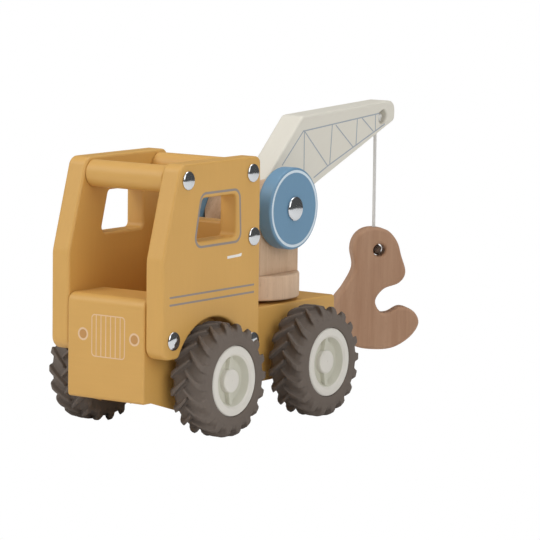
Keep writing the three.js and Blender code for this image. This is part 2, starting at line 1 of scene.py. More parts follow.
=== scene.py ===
"""Looks of a wooden toy crane truck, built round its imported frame.

Every piece is drawn in millimetres in the truck's drawing frame (X across, Y from the
nose to the boom's tip, Z up) and set in place, in metres, when it is finished.
"""
import logging
import math
from dataclasses import dataclass
from enum import Enum
from typing import Callable, Optional, Sequence, Union

import bmesh
import bpy
from mathutils import Matrix, Vector


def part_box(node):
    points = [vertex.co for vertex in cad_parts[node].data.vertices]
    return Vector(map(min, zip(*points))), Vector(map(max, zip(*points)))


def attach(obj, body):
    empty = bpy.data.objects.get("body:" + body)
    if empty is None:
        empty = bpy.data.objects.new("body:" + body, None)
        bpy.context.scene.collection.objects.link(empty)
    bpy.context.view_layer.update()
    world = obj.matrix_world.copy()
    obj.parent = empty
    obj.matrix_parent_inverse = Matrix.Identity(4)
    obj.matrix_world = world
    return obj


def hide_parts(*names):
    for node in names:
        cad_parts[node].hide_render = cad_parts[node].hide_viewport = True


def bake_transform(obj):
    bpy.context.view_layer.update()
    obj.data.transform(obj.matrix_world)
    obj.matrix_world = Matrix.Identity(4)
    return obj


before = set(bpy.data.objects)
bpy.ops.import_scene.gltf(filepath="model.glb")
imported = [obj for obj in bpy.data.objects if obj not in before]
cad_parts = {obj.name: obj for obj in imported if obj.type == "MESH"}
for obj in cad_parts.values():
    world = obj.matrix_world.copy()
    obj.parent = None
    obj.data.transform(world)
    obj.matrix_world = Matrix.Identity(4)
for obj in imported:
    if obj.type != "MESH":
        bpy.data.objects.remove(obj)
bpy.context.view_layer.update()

LOG = logging.getLogger("crane_truck")

Point = tuple[float, float]
Corner = tuple[float, ...]
Colour = tuple[float, float, float]
Mesh = bmesh.types.BMesh

MM = 0.001
NOSE_FRONT = -60.8
DRAWING_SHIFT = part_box("nose_block")[0].y / MM - NOSE_FRONT
CREASE = math.radians(38)
MERGE_DISTANCE = 1e-4
RELIEF_DEPTH = 0.0001


class Side(Enum):
    """The two sides of the truck, with the sign of their X."""

    RIGHT = 1
    LEFT = -1

    @property
    def label(self) -> str:
        """The side's name as the frame writes it."""
        return self.name.lower()


class Body(Enum):
    """The bodies of the frame that pieces ride on."""

    CHASSIS = "chassis"
    FRONT_AXLE = "front_axle"
    REAR_AXLE = "rear_axle"
    TURRET = "turret"
    BOOM = "boom"
    CORD_BEND = "cord_bend"
    CORD = "cord"
    HOOK = "hook"


class Axis(Enum):
    """The axis that a turned piece is turned about."""

    X = (1, 0, 0)
    Z = (0, 0, 1)


# ------------------------------------------------------------------ outlines


def arc(centre: Point, radius: float, start: float, end: float, steps: int) -> list[Point]:
    """Gives the points of an arc, both ends included.

    Args:
        centre: The arc's middle.
        radius: Its radius.
        start: Angle of its first point, in radians.
        end: Angle of its last point.
        steps: How many chords it has.

    Returns:
        The points in order.
    """
    turns = [start + (end - start) * i / steps for i in range(steps + 1)]
    return [(centre[0] + radius * math.cos(t), centre[1] + radius * math.sin(t)) for t in turns]


def softened(corners: Sequence[Corner], steps: int = 6, closed: bool = True) -> list[Point]:
    """Rounds an outline's corners with true arcs.

    Args:
        corners: (a, b) or (a, b, radius) for each corner.
        steps: Chords in each rounding.
        closed: Whether the last corner joins the first.

    Returns:
        The points of the rounded outline.
    """
    points: list[Point] = []
    count = len(corners)
    for i, corner in enumerate(corners):
        here = Vector(corner[:2])
        radius = corner[2] if len(corner) > 2 else 0.0
        if radius <= 0 or (not closed and i in (0, count - 1)):
            points.append((here.x, here.y))
            continue
        back = (Vector(corners[i - 1][:2]) - here).normalized()
        ahead = (Vector(corners[(i + 1) % count][:2]) - here).normalized()
        half = back.angle(ahead) / 2
        centre = here + (back + ahead).normalized() * radius / math.sin(half)
        first = here + back * radius / math.tan(half) - centre
        last = here + ahead * radius / math.tan(half) - centre
        sweep = math.copysign(math.pi - 2 * half, first.x * last.y - first.y * last.x)
        start = math.atan2(first.y, first.x)
        points += arc((centre.x, centre.y), radius, start, start + sweep, steps)
    return points


def ring_outline(centre: Point, radius: float, steps: int = 48) -> list[Point]:
    """A full circle's points, without the closing one."""
    return arc(centre, radius, 0, 2 * math.pi, steps)[:-1]


def box_outline(low: Point, high: Point, radius: float, steps: int = 6) -> list[Point]:
    """A rectangle with rounded corners."""
    corners = [(low[0], low[1]), (high[0], low[1]), (high[0], high[1]), (low[0], high[1])]
    return softened([(*c, radius) for c in corners], steps)


def stroke_outline(start: Point, end: Point, width: float) -> list[Point]:
    """A straight printed stroke with square ends that reach half its width further.

    Args:
        start: Its first end.
        end: Its other end.
        width: How wide it is.

    Returns:
        The four corners of the stroke.
    """
    a, b = Vector(start), Vector(end)
    along = (b - a).normalized() * width / 2
    across = Vector((-along.y, along.x))
    corners = [a - along - across, b + along - across, b + along + across, a - along + across]
    return [(c.x, c.y) for c in corners]


def domed_head(radius: float, seat: float, rise: float, rim: float) -> list[Point]:
    """Gives the profile of a domed screw head, from its rolled edge to its top.

    Args:
        radius: The head's radius.
        seat: Where it sits, along the axis.
        rise: How far its top stands over the seat.
        rim: How far the dome's foot stands over the seat.

    Returns:
        (radius, distance along the axis) points.
    """
    turns = [math.pi / 2 * (10 - i) / 10 for i in range(10)]
    dome = [(radius * math.sin(t), seat + rim + (rise - rim) * math.cos(t)) for t in turns]
    return [(radius, seat + 0.2), *dome, (0, seat + rise)]


# ------------------------------------------------------------------ mesh making


def extruded_board(
    outline: Sequence[Point],
    holes: Sequence[Sequence[Point]],
    low: float,
    high: float,
    edge: float = 0.0,
    steps: int = 4,
) -> Mesh:
    """Makes a board with rounded edges round its outline and its holes.

    Args:
        outline: The outline in Y and Z.
        holes: Outlines of what is cut through it.
        low: The lower of its two faces along X.
        high: The higher face.
        edge: Radius of the rounded edges.
        steps: Chords in each rounded edge.

    Returns:
        The board's mesh.
    """
    bm = bmesh.new()
    edges = []
    for loop in (outline, *holes):
        verts = [bm.verts.new((low + edge, a, b)) for a, b in loop]
        edges += [bm.edges.new((verts[i - 1], verts[i])) for i in range(len(verts))]
    bmesh.ops.triangle_fill(bm, use_beauty=True, use_dissolve=False, edges=edges)
    sheet = bm.faces[:]
    made = bmesh.ops.extrude_face_region(bm, geom=sheet, use_keep_orig=True)
    lifted = [g for g in made["geom"] if isinstance(g, bmesh.types.BMVert)]
    caps = [sheet, [g for g in made["geom"] if isinstance(g, bmesh.types.BMFace)]]
    bmesh.ops.translate(bm, verts=lifted, vec=(high - low - 2 * edge, 0, 0))
    bmesh.ops.recalc_face_normals(bm, faces=bm.faces)
    for cap in caps if edge else []:
        for i in range(steps):
            before, after = (math.pi / 2 * k / steps for k in (i, i + 1))
            inwards = edge * (math.cos(before) - math.cos(after))
            outwards = edge * (math.sin(after) - math.sin(before))
            bmesh.ops.inset_region(
                bm,
                faces=cap,
                thickness=inwards,
                depth=outwards,
                use_boundary=True,
                use_even_offset=True,
            )
    return bm


def turned(profile: Sequence[Point], axis: Axis = Axis.X, segments: int = 72) -> Mesh:
    """Turns a profile about an axis through the origin.

    Args:
        profile: (radius, distance along the axis) points; a closed piece starts and ends
            on the axis, or comes back to its first point.
        axis: The axis it is turned about.
        segments: Steps round the axis.

    Returns:
        The turned mesh.
    """
    bm = bmesh.new()
    lengthwise = axis is Axis.X
    verts = [bm.verts.new((along, 0, r) if lengthwise else (r, 0, along)) for r, along in profile]
    edges = [bm.edges.new(pair) for pair in zip(verts, verts[1:])]
    bmesh.ops.spin(
        bm,
        geom=verts + edges,
        cent=(0, 0, 0),
        axis=axis.value,
        angle=2 * math.pi,
        steps=segments,
        use_merge=True,
        use_duplicate=False,
    )
    bmesh.ops.remove_doubles(bm, verts=bm.verts, dist=MERGE_DISTANCE)
    bmesh.ops.recalc_face_normals(bm, faces=bm.faces)
    return bm


def cutting_block(size: Sequence[float], centre: Sequence[float]) -> Mesh:
    """Makes a plain block, used only to cut other pieces.

    Args:
        size: Its three sides.
        centre: Its middle.

    Returns:
        The block's mesh.
    """
    bm = bmesh.new()
    bmesh.ops.create_cube(bm, size=1)
    bmesh.ops.scale(bm, vec=size, verts=bm.verts)
    bmesh.ops.translate(bm, vec=centre, verts=bm.verts)
    return bm


def swept_tube(
    path: Sequence[Vector], radius: float, sides: int = 16, loop: bool = False
) -> Mesh:
    """Sweeps a round section along a path, with a UV map that follows it.

    Args:
        path: The points that its middle follows.
        radius: Radius of its section.
        sides: Corners of the section.
        loop: Whether its last point joins its first.

    Returns:
        The tube's mesh; U runs round it and V along it, in the path's units.
    """
    bm = bmesh.new()
    uv_layer = bm.loops.layers.uv.new("UVMap")
    count = len(path)
    rings, normal = [], Vector((1, 0, 0))
    run = [0.0]
    for i, point in enumerate(path):
        before = path[i - 1] if (i or loop) else point
        after = path[(i + 1) % count] if (i < count - 1 or loop) else point
        along = (after - before).normalized()
        normal = (normal - along * normal.dot(along)).normalized()
        side = along.cross(normal)
        turns = [2 * math.pi * k / sides for k in range(sides)]
        spokes = [normal * math.cos(t) + side * math.sin(t) for t in turns]
        rings.append([bm.verts.new(point + spoke * radius) for spoke in spokes])
        run.append(run[-1] + (path[(i + 1) % count] - point).length)
    for i in range(count if loop else count - 1):
        for k in range(sides):
            quad = [rings[i][k], rings[i][(k + 1) % sides]]
            quad += [rings[(i + 1) % count][(k + 1) % sides], rings[(i + 1) % count][k]]
            face = bm.faces.new(quad)
            marks = [(k, run[i]), (k + 1, run[i]), (k + 1, run[i + 1]), (k, run[i + 1])]
            for corner, (u, v) in zip(face.loops, marks):
                corner[uv_layer].uv = (u / sides, v)
    if not loop:
        for end in (rings[0], rings[-1]):
            bm.faces.new(end)
    bmesh.ops.recalc_face_normals(bm, faces=bm.faces)
    return bm


def joined(parts: Sequence[Mesh]) -> Mesh:
    """Puts several meshes into one and frees them.

    Args:
        parts: The meshes to join.

    Returns:
        One mesh with all of them.
    """
    whole = bmesh.new()
    for part in parts:
        held = bpy.data.meshes.new("held")
        part.to_mesh(held)
        part.free()
        whole.from_mesh(held)
        bpy.data.meshes.remove(held)
    return whole


def moved(bm: Mesh, by: Sequence[float] = (0, 0, 0), turn_z: float = 0.0) -> Mesh:
    """Turns a mesh about Z and then moves it.

    Args:
        bm: The mesh.
        by: How far it moves, in millimetres.
        turn_z: How far it turns first, in radians.

    Returns:
        The same mesh.
    """
    way = Matrix.Translation(by) @ Matrix.Rotation(turn_z, 4, "Z")
    bmesh.ops.transform(bm, matrix=way, verts=bm.verts)
    return bm


def on_side(bm: Mesh, side: Side) -> Mesh:
    """Mirrors a right-hand mesh where it is wanted on the left.

    Args:
        bm: The mesh as it is on the right.
        side: The side it is for.

    Returns:
        The same mesh, on its side.
    """
    if side is Side.LEFT:
        bmesh.ops.scale(bm, vec=(-1, 1, 1), verts=bm.verts)
        bmesh.ops.reverse_faces(bm, faces=bm.faces)
    return bm


def loose_object(name: str, bm: Mesh) -> bpy.types.Object:
    """Puts a mesh in the scene as it is.

    Args:
        name: The object's name.
        bm: Its mesh, which is freed.

    Returns:
        The new object.
    """
    mesh = bpy.data.meshes.new(name)
    bm.to_mesh(mesh)
    bm.free()
    held = bpy.data.objects.new(name, mesh)
    bpy.context.scene.collection.objects.link(held)
    return held


def discard(held: bpy.types.Object) -> None:
    """Takes a working object and its mesh out of the scene.

    Args:
        held: The object.
    """
    mesh = held.data
    bpy.data.objects.remove(held)
    bpy.data.meshes.remove(mesh)


def with_modifiers(bm: Mesh, dress: Callable[[bpy.types.Object], None]) -> Mesh:
    """Runs modifiers on a mesh and gives back the result.

    Args:
        bm: The mesh, which is freed.
        dress: Adds the modifiers to the object it is given.

    Returns:
        The mesh with the modifiers applied.
    """
    worked = loose_object("worked", bm)
    dress(worked)
    bpy.context.view_layer.update()
    view = bpy.context.evaluated_depsgraph_get()
    result = bmesh.new()
    result.from_mesh(worked.evaluated_get(view).to_mesh())
    worked.evaluated_get(view).to_mesh_clear()
    discard(worked)
    return result


def carved(bm: Mesh, tools: Sequence[tuple[Mesh, str]], edge: float = 0.0) -> Mesh:
    """Cuts a mesh with others, and softens the edges that are left.

    Args:
        bm: The mesh to cut.
        tools: Each cutting mesh with DIFFERENCE or INTERSECT.
        edge: Radius of the softened edges.

    Returns:
        The cut mesh.
    """
    cutters = [(loose_object("cutter", tool), how) for tool, how in tools]

    def dress(held: bpy.types.Object) -> None:
        """Adds a Boolean for each tool, and the bevel.

        Args:
            held: The object that is cut.
        """
        for cutter, how in cutters:
            cut = held.modifiers.new("cut", "BOOLEAN")
            cut.object = cutter
            cut.operation = how
            cut.solver = "EXACT"
        if edge:
            soft = held.modifiers.new("soft", "BEVEL")
            soft.width = edge
            soft.segments = 3
            soft.limit_method = "ANGLE"
            soft.angle_limit = CREASE

    result = with_modifiers(bm, dress)
    for cutter, _ in cutters:
        discard(cutter)
    return result


def finish_piece(
    name: str,
    bm: Mesh,
    body: Body,
    finishes: Sequence[bpy.types.Material],
    replaces: Sequence[str] = (),
    rides: bool = True,
) -> bpy.types.Object:
    """Sets a drawn mesh in its place in the frame, as a finished piece.

    Args:
        name: The piece's name.
        bm: Its mesh, in the drawing's millimetres.
        body: The body that it moves with.
        finishes: Its materials, in the order its faces name them.
        replaces: The frame's nodes that it stands for.
        rides: False for a piece that is left on no body.

    Returns:
        The piece's object.
    """
    placing = Matrix.Translation((0, DRAWING_SHIFT * MM, 0)) @ Matrix.Scale(MM, 4)
    bmesh.ops.transform(bm, matrix=placing, verts=bm.verts)
    for edge in bm.edges:
        edge.smooth = edge.calc_face_angle(0.0) < CREASE
    for face in bm.faces:
        face.smooth = True
    open_edges = sum(1 for edge in bm.edges if len(edge.link_faces) != 2)
    piece = loose_object(name, bm)
    for finish in finishes:
        piece.data.materials.append(finish)
    shading = piece.modifiers.new("face_shading", "WEIGHTED_NORMAL")
    shading.keep_sharp = True
    if rides:
        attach(piece, body.value)
    if replaces:
        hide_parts(*replaces)
    faces = len(piece.data.polygons)
    LOG.info("%s: %d faces, %d open edges, on %s", name, faces, open_edges, body.value)
    return piece


def dress_node(node: str, finish: bpy.types.Material) -> None:
    """Gives a material to a node of the frame that is shown as it is.

    Args:
        node: The node's name.
        finish: Its material.
    """
    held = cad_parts[node]
    held.data.materials.clear()
    held.data.materials.append(finish)
    LOG.info("%s: carried over from the frame", node)


# ------------------------------------------------------------------ material making


Socket = bpy.types.NodeSocket
Input = Union[Socket, float, Sequence[float]]


class Graph:
    """A node tree with short calls to add, set and join nodes."""

    def __init__(self, tree: bpy.types.NodeTree) -> None:
        """Keeps the tree and empties it."""
        self.tree = tree
        tree.nodes.clear()

    def add(
        self, kind: str, values: Optional[dict] = None, **settings: object
    ) -> bpy.types.Node:
        """Adds a node.

        Args:
            kind: The node's type.
            values: Inputs to set, by name or place; a node's socket is joined instead.
            settings: Its own settings.

        Returns:
            The new node.
        """
        node = self.tree.nodes.new(kind)
        for key, value in settings.items():
            setattr(node, key, value)
        for key, value in (values or {}).items():
            if isinstance(value, Socket):
                self.tree.links.new(value, node.inputs[key])
            else:
                node.inputs[key].default_value = value
        return node

    def maths(self, operation: str, a: Input, b: Input = 0.0, c: Input = 0.0) -> Socket:
        """The result of a Math node."""
        return self.add("ShaderNodeMath", {0: a, 1: b, 2: c}, operation=operation).outputs[0]

    def noise(self, where: Input, scale: float, detail: float, rough: float) -> Socket:
        """The value of a Noise texture."""
        values = {"Vector": where, "Scale": scale, "Detail": detail, "Roughness": rough}
        return self.add("ShaderNodeTexNoise", values).outputs[0]

    def stretched(self, where: Input, along: float) -> Socket:
        """A place whose scale along Z is cut to a share, which draws a pattern out."""
        values = {"Vector": where, "Scale": (1.0, 1.0, along)}
        return self.add("ShaderNodeMapping", values).outputs[0]

    def spread(
        self, value: Input, low: float, high: float, out_low: float = 0.0, out_high: float = 1.0
    ) -> Socket:
        """A value mapped from one range to another, and held inside it."""
        values = {0: value, 1: low, 2: high, 3: out_low, 4: out_high}
        return self.add("ShaderNodeMapRange", values, clamp=True).outputs[0]

    def mix(self, share: Input, first: Input, second: Input, blend: str = "MIX") -> Socket:
        """A mix of two colours."""
        values = {0: share, 6: first, 7: second}
        return self.add("ShaderNodeMix", values, data_type="RGBA", blend_type=blend).outputs[2]


COLOUR_SOCKET = "NodeSocketColor"
VALUE_SOCKET = "NodeSocketFloat"
VECTOR_SOCKET = "NodeSocketVector"


def solid_colour(colour: Colour) -> tuple[float, float, float, float]:
    """A colour with full alpha."""
    return (*colour, 1.0)


def from_srgb(red: float, green: float, blue: float) -> Colour:
    """A colour given as 0 to 255 sRGB, in linear light.

    Args:
        red: Its red.
        green: Its green.
        blue: Its blue.

    Returns:
        The linear colour.
    """
    shares = [value / 255 for value in (red, green, blue)]
    return tuple(s / 12.92 if s <= 0.04045 else ((s + 0.055) / 1.055) ** 2.4 for s in shares)


def effect_group(
    name: str, inputs: Sequence[tuple[str, str, Input]], build: Callable[[Graph, dict], dict]
) -> bpy.types.NodeTree:
    """Makes a shader node group with Color, Roughness and Height outputs.

    Args:
        name: The group's name.
        inputs: Each input's name, socket type and default.
        build: Wires the group from its inputs, and gives its outputs by name.

    Returns:
        The group's tree.
    """
    tree = bpy.data.node_groups.new(name, "ShaderNodeTree")
    for label, kind, default in inputs:
        socket = tree.interface.new_socket(label, in_out="INPUT", socket_type=kind)
        if default is not None:
            socket.default_value = default
    outputs = (("Color", COLOUR_SOCKET), ("Roughness", VALUE_SOCKET), ("Height", VALUE_SOCKET))
    for label, kind in outputs:
        tree.interface.new_socket(label, in_out="OUTPUT", socket_type=kind)
    graph = Graph(tree)
    entry = graph.add("NodeGroupInput")
    results = build(graph, {socket.name: socket for socket in entry.outputs if socket.name})
    graph.add("NodeGroupOutput", results)
    return tree


def build_grain(graph: Graph, given: dict) -> dict:
    """Wires the wood grain: long fibres, broad figure, and beech's short dark flecks.

    Args:
        graph: The group's graph.
        given: Its inputs: Vector, Light, Dark and Flecks.

    Returns:
        Its outputs: Color, Roughness and Height.
    """
    where = given["Vector"]
    drawn = graph.stretched(where, 0.06)
    figure = graph.noise(drawn, scale=150, detail=4, rough=0.55)
    fibre = graph.noise(drawn, scale=900, detail=3, rough=0.6)
    specks = graph.noise(graph.stretched(where, 0.22), scale=1500, detail=1, rough=0.4)
    fleck = graph.spread(specks, 0.64, 0.72)
    tone = graph.maths("MULTIPLY_ADD", fibre, 0.35, graph.maths("MULTIPLY", figure, 0.65))
    body = graph.mix(graph.spread(tone, 0.36, 0.64), given["Dark"], given["Light"])
    flecked = graph.maths("MULTIPLY", fleck, given["Flecks"])
    brown = graph.mix(1.0, given["Dark"], (0.55, 0.48, 0.42, 1), "MULTIPLY")
    height = graph.maths("SUBTRACT", fibre, graph.maths("MULTIPLY", flecked, 0.8))
    rough = graph.spread(fibre, 0.2, 0.8, 0.52, 0.72)
    return {"Color": graph.mix(flecked, body, brown), "Roughness": rough, "Height": height}


def build_paint(graph: Graph, given: dict) -> dict:
    """Wires a coat of paint on wood: a soft mottle, the fibres under it, and fine peel.

    Args:
        graph: The group's graph.
        given: Its inputs: Vector, Paint and Variation.

    Returns:
        Its outputs: Color, Roughness and Height.
    """
    where = given["Vector"]
    cloud = graph.noise(where, scale=28, detail=2, rough=0.5)
    fibre = graph.noise(graph.stretched(where, 0.08), scale=620, detail=3, rough=0.6)
    peel = graph.noise(where, scale=1600, detail=2, rough=0.5)
    tone = graph.maths("MULTIPLY_ADD", fibre, 0.4, graph.maths("MULTIPLY", cloud, 0.6))
    share = graph.maths("MULTIPLY", graph.spread(tone, 0.35, 0.65), given["Variation"])
    deep = graph.mix(1.0, given["Paint"], (0.8, 0.76, 0.7, 1), "MULTIPLY")
    height = graph.maths("MULTIPLY_ADD", fibre, 0.7, graph.maths("MULTIPLY", peel, 0.3))
    rough = graph.spread(peel, 0.3, 0.7, 0.42, 0.56)
    return {"Color": graph.mix(share, given["Paint"], deep), "Roughness": rough, "Height": height}


def build_moulded(graph: Graph, given: dict) -> dict:
    """Wires a moulded or plated skin: faint clouding, and a fine speckle in its gloss.

    Args:
        graph: The group's graph.
        given: Its inputs: Vector, Skin, Variation and Matt.

    Returns:
        Its outputs: Color, Roughness and Height.
    """
    where = given["Vector"]
    cloud = graph.noise(where, scale=60, detail=3, rough=0.5)
    speckle = graph.noise(where, scale=2400, detail=2, rough=0.6)
    share = graph.maths("MULTIPLY", graph.spread(cloud, 0.35, 0.65), given["Variation"])
    light = graph.mix(1.0, given["Skin"], (1.25, 1.25, 1.25, 1), "MULTIPLY")
    colour = graph.mix(share, given["Skin"], light)
    rough = graph.maths("ADD", given["Matt"], graph.spread(speckle, 0.3, 0.7, -0.05, 0.05))
    return {"Color": colour, "Roughness": rough, "Height": speckle}


class Effects:
    """The shader node groups that the finishes share."""

    def __init__(self) -> None:
        """Builds each group once."""
        unset = (0.8, 0.8, 0.8, 1)
        self.grain = effect_group(
            "wood_grain",
            [
                ("Vector", VECTOR_SOCKET, None),
                ("Light", COLOUR_SOCKET, unset),
                ("Dark", COLOUR_SOCKET, unset),
                ("Flecks", VALUE_SOCKET, 0.5),
            ],
            build_grain,
        )
        self.paint = effect_group(
            "painted_wood",
            [
                ("Vector", VECTOR_SOCKET, None),
                ("Paint", COLOUR_SOCKET, unset),
                ("Variation", VALUE_SOCKET, 0.3),
            ],
            build_paint,
        )
        self.moulded = effect_group(
            "moulded_skin",
            [
                ("Vector", VECTOR_SOCKET, None),
                ("Skin", COLOUR_SOCKET, unset),
                ("Variation", VALUE_SOCKET, 0.3),
                ("Matt", VALUE_SOCKET, 0.6),
            ],
            build_moulded,
        )


def surface_material(
    name: str,
    group: bpy.types.NodeTree,
    values: dict,
    turn: Sequence[float],
    bump: float,
    constants: dict,
) -> bpy.types.Material:
    """Makes a material whose colour, roughness and relief come from an effect group.

    Args:
        name: The material's name.
        group: The effect group.
        values: The group's inputs.
        turn: Turns the pattern, so that its Z is the way that the grain runs.
        bump: Strength of the relief.
        constants: Values set on the Principled BSDF itself.

    Returns:
        The material.
    """
    material = bpy.data.materials.new(name)
    material.use_nodes = True
    graph = Graph(material.node_tree)
    where = graph.add("ShaderNodeTexCoord").outputs["Object"]
    laid = graph.add("ShaderNodeMapping", {"Vector": where, "Rotation": tuple(turn)}).outputs[0]
    effect = graph.add("ShaderNodeGroup", node_tree=group)
    graph.tree.links.new(laid, effect.inputs["Vector"])
    for key, value in values.items():
        effect.inputs[key].default_value = value
    height = effect.outputs["Height"]
    relief = graph.add(
        "ShaderNodeBump", {"Strength": bump, "Distance": RELIEF_DEPTH, "Height": height}
    )
    shader = graph.add(
        "ShaderNodeBsdfPrincipled",
        {
            "Base Color": effect.outputs["Color"],
            "Roughness": effect.outputs["Roughness"],
            "Normal": relief.outputs[0],
            **constants,
        },
    )
    graph.add("ShaderNodeOutputMaterial", {"Surface": shader.outputs[0]})
    return material


class Grain(Enum):
    """Which way a board's grain runs, as the turn of its pattern."""

    UP = (0.0, 0.0, 0.0)
    ALONG = (math.pi / 2, 0.0, 0.0)
    ACROSS = (0.0, math.pi / 2, 0.0)
    BOOM = (math.radians(60), 0.0, 0.0)


@dataclass(frozen=True)
class Paint:
    """Satin water-based paint on wood."""

    name: str
    colour: Colour
    variation: float = 0.3
    grain: Grain = Grain.UP
    specular: float = 0.55
    relief: float = 0.22

    def material(self, effects: Effects) -> bpy.types.Material:
        """Makes the paint's material.

        Args:
            effects: The shared effects.

        Returns:
            The material.
        """
        values = {"Paint": solid_colour(self.colour), "Variation": self.variation}
        constants = {"Specular IOR Level": self.specular}
        turn = self.grain.value
        return surface_material(self.name, effects.paint, values, turn, self.relief, constants)


@dataclass(frozen=True)
class Timber:
    """Bare or stained wood with its grain showing."""

    name: str
    light: Colour
    dark: Colour
    flecks: float
    grain: Grain = Grain.UP
    specular: float = 0.3
    relief: float = 0.3

    def material(self, effects: Effects) -> bpy.types.Material:
        """Makes the wood's material.

        Args:
            effects: The shared effects.

        Returns:
            The material.
        """
        values = {
            "Light": solid_colour(self.light),
            "Dark": solid_colour(self.dark),
            "Flecks": self.flecks,
        }
        constants = {"Specular IOR Level": self.specular}
        turn = self.grain.value
        return surface_material(self.name, effects.grain, values, turn, self.relief, constants)


@dataclass(frozen=True)
class Moulding:
    """Moulded rubber or plastic."""

    name: str
    colour: Colour
    variation: float
    matt: float
    relief: float
    specular: float = 0.5

    def material(self, effects: Effects) -> bpy.types.Material:
        """Makes the moulding's material.

        Args:
            effects: The shared effects.

        Returns:
            The material.
        """
        values = {
            "Skin": solid_colour(self.colour),
            "Variation": self.variation,
            "Matt": self.matt,
        }
        constants = {"Specular IOR Level": self.specular}
        turn = Grain.UP.value
        return surface_material(self.name, effects.moulded, values, turn, self.relief, constants)


@dataclass(frozen=True)
class Metal:
    """Plated metal, polished or plain."""

    name: str
    colour: Colour
    matt: float
    relief: float
    variation: float = 0.15

    def material(self, effects: Effects) -> bpy.types.Material:
        """Makes the metal's material.

        Args:
            effects: The shared effects.

        Returns:
            The material.
        """
        values = {
            "Skin": solid_colour(self.colour),
            "Variation": self.variation,
            "Matt": self.matt,
        }
        turn, constants = Grain.UP.value, {"Metallic": 1.0}
        return surface_material(self.name, effects.moulded, values, turn, self.relief, constants)


@dataclass(frozen=True)
class Ink:
    """A printed line, thin enough to take the paint's own relief."""

    name: str
    colour: Colour
    variation: float = 0.25
    specular: float = 0.35
    relief: float = 0.15

    def material(self, effects: Effects) -> bpy.types.Material:
        """Makes the ink's material.

        Args:
            effects: The shared effects.

        Returns:
            The material.
        """
        values = {"Paint": solid_colour(self.colour), "Variation": self.variation}
        constants = {"Specular IOR Level": self.specular}
        turn = Grain.UP.value
        return surface_material(self.name, effects.paint, values, turn, self.relief, constants)


@dataclass(frozen=True)
class Braid:
    """Braided cord, its plait drawn on the cord's own UV map."""

    name: str
    colour: Colour
    # The colour in the plait's grooves: painted shade between the strands.
    shade: Colour = (0.66, 0.65, 0.62)
    plaits: int = 4
    pitch: float = 0.0024
    relief: float = 0.6
    strand_depth: float = 0.0002
    sheen: float = 0.2

    def material(self) -> bpy.types.Material:
        """Makes the cord's material.

        Returns:
            The material.
        """
        material = bpy.data.materials.new(self.name)
        material.use_nodes = True
        graph = Graph(material.node_tree)
        where = graph.add("ShaderNodeUVMap", uv_map="UVMap").outputs[0]
        round_it = 2 * math.pi * self.plaits / 10
        along_it = 2 * math.pi / self.pitch / 10
        strands = []
        for turn in (1, -1):
            scale = (turn * round_it, along_it, 0)
            laid = graph.add("ShaderNodeMapping", {"Vector": where, "Scale": scale}).outputs[0]
            values = {"Vector": laid, "Scale": 1.0}
            wave = graph.add("ShaderNodeTexWave", values, bands_direction="DIAGONAL")
            strands.append(wave.outputs["Fac"])
        weave = graph.maths("MAXIMUM", strands[0], strands[1])
        # The plait's grooves take the darker colour: painted shade where the strands meet.
        deep, light = solid_colour(self.shade), solid_colour(self.colour)
        shade = graph.mix(graph.spread(weave, 0.1, 0.9), deep, light)
        relief = graph.add(
            "ShaderNodeBump",
            {"Strength": self.relief, "Distance": self.strand_depth, "Height": weave},
        )
        shader = graph.add(
            "ShaderNodeBsdfPrincipled",
            {
                "Base Color": shade,
                "Roughness": graph.spread(weave, 0.0, 1.0, 0.95, 0.85),
                "Normal": relief.outputs[0],
                "Sheen Weight": self.sheen,
            },
        )
        graph.add("ShaderNodeOutputMaterial", {"Surface": shader.outputs[0]})
        return material


